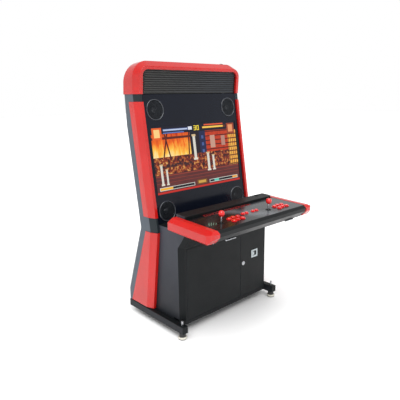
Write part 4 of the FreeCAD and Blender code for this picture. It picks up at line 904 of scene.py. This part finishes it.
# Mains inlet: three blades in the socket, the middle one above the other two.
BLADES = ((-0.0068, -0.0022), (0.0, 0.0035), (0.0068, -0.0022))
BLADE_OUTLINE = [(-0.001, -0.003), (0.001, -0.003), (0.001, 0.003), (-0.001, 0.003)]
BLADE_LONG, BLADE_DEEP = 0.013, 0.0172


def inlet_pins(shape):
    lowest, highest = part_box("mains_inlet")
    middle = (lowest + highest) / 2
    for x, z in BLADES:
        root = Vector((middle.x + x, highest.y - BLADE_DEEP, middle.z + z))
        prism(shape, BLADE_OUTLINE, BLADE_LONG, facing(root, REAR))


make("inlet_pins", inlet_pins, bright_steel, "cabinet")


# Hood: a dark bolt stands at the rear of its top, towards the right.
BOLT_X, BOLT_FROM_REAR, BOLT_SUNK = 0.30, 0.085, 0.004
BOLT_RADIUS, BOLT_SKIRT, BOLT_DOME = 0.014, 0.003, 0.006


def hood_bolt(shape):
    lowest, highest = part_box("hood_trim")
    foot = Vector((BOLT_X, highest.y - BOLT_FROM_REAR, highest.z - BOLT_SUNK))
    dome(shape, BOLT_RADIUS, BOLT_SKIRT, BOLT_DOME, facing(foot, HOOD_UP))


make("hood_bolt", hood_bolt, MATERIALS["switch_black"], "cabinet")


# Armrests: a small bright stop under the front of each.
STOP_INSET, STOP_FROM_FRONT, STOP_SUNK = 0.013, 0.044, 0.003
STOP_RADIUS, STOP_SKIRT, STOP_DOME = 0.009, 0.005, 0.003


def armrest_stops(shape):
    for name in ("left_armrest", "right_armrest"):
        lowest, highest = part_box(name)
        inner = min(abs(lowest.x), abs(highest.x)) + STOP_INSET
        foot = Vector((math.copysign(inner, lowest.x), lowest.y + STOP_FROM_FRONT, lowest.z + STOP_SUNK))
        dome(shape, STOP_RADIUS, STOP_SKIRT, STOP_DOME, facing(foot, -UP))


make("armrest_stops", armrest_stops, bright_steel, "cabinet")


# Rear: screws along both sides of the access panel, which leans forward as it rises.
SCREW_INSET = 0.012


def access_screws(shape):
    lowest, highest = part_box("rear_access_panel")
    rise = highest.z - lowest.z
    run = lowest.y - highest.y
    out = Vector((0, rise, -run)).normalized()
    for x in (lowest.x + SCREW_INSET, highest.x - SCREW_INSET):
        for share in (0.05, 0.5, 0.95):
            point = Vector((x, highest.y + run * share, lowest.z + rise * share))
            screw(shape, facing(point, out), SCREW_RADIUS)


make("access_panel_screws", access_screws, bright_steel, "cabinet")

# ---------------------------------------------------------------- stage, light and camera

FLOOR_HALF = 30.0
OVERHEAD = 0.60             # brightness of the sky overhead, where the horizon is 1
BRIGHT_BELOW = 0.20         # the sky is at its full brightness up to this height, as the sine of the angle
DIM_ABOVE = 0.45            # and at its overhead brightness from this one
SUN_AT = Vector((-1.0, -1.1, 3.2))
SUN_STRENGTH = 3.0
SUN_SPREAD = math.radians(60)


def floor_material():
    """Nearly white, with the faintest cloud."""
    shader = Shader("pale_floor", Roughness=0.6)
    cloud = shader.noise(0.8, 3.0)
    shader.set("Base Color", shader.mix(cloud, rgb(252, 252, 252), rgb(255, 255, 255)))
    return shader.material


def stage_floor():
    mesh = bpy.data.meshes.new("floor")
    corners = [(-FLOOR_HALF, -FLOOR_HALF, 0), (FLOOR_HALF, -FLOOR_HALF, 0), (FLOOR_HALF, FLOOR_HALF, 0),
               (-FLOOR_HALF, FLOOR_HALF, 0)]
    mesh.from_pydata(corners, [], [(0, 1, 2, 3)])
    mesh.materials.append(floor_material())
    floor = bpy.data.objects.new("floor", mesh)
    scene.collection.objects.link(floor)


def sun():
    """Broad light that shines from its place towards the middle of the cabinet."""
    light = bpy.data.lights.new("sun", "SUN")
    light.energy = SUN_STRENGTH
    light.angle = SUN_SPREAD
    lamp = bpy.data.objects.new("sun", light)
    lamp.matrix_world = facing(SUN_AT, SUN_AT)
    scene.collection.objects.link(lamp)


def studio():
    """White towards the horizon and dimmer overhead, with one broad light from the upper left."""
    world = bpy.data.worlds.new("studio")
    world.use_nodes = True
    nodes, links = world.node_tree.nodes, world.node_tree.links
    direction = nodes.new("ShaderNodeTexCoord")
    parts = nodes.new("ShaderNodeSeparateXYZ")
    level = nodes.new("ShaderNodeMapRange")
    for socket, value in zip(level.inputs[1:5], (BRIGHT_BELOW, DIM_ABOVE, 1.0, OVERHEAD)):
        socket.default_value = value
    links.new(direction.outputs["Generated"], parts.inputs[0])
    links.new(parts.outputs["Z"], level.inputs[0])
    links.new(level.outputs[0], nodes["Background"].inputs["Strength"])
    nodes["Background"].inputs["Color"].default_value = (1.0, 1.0, 1.0, 1.0)
    scene.world = world
    scene.view_settings.view_transform = "Standard"
    sun()
    stage_floor()


# Camera: stands to the left of the player, at eye height, and looks down a little.
CAMERA_AT = Vector((-1.866, -1.891, 1.366))
CAMERA_YAW = 0.7373
CAMERA_PITCH = -0.2321
CAMERA_ROLL = -0.01493
CAMERA_LENS = 39.66         # millimetres
CAMERA_SENSOR = 36.0


def camera():
    """Looks along its yaw (clockwise from +Y), pitch and roll."""
    ahead = Vector((math.sin(CAMERA_YAW), math.cos(CAMERA_YAW), 0)) * math.cos(CAMERA_PITCH)
    ahead.z = math.sin(CAMERA_PITCH)
    level = Vector((math.cos(CAMERA_YAW), -math.sin(CAMERA_YAW), 0))
    above = level.cross(ahead)
    right = level * math.cos(CAMERA_ROLL) + above * math.sin(CAMERA_ROLL)
    top = above * math.cos(CAMERA_ROLL) - level * math.sin(CAMERA_ROLL)
    lens = bpy.data.cameras.new("camera")
    lens.lens = CAMERA_LENS
    lens.sensor_width = CAMERA_SENSOR
    viewer = bpy.data.objects.new("camera", lens)
    viewer.matrix_world = Matrix.Translation(CAMERA_AT) @ Matrix((right, top, -ahead)).transposed().to_4x4()
    scene.collection.objects.link(viewer)
    scene.camera = viewer


studio()
camera()
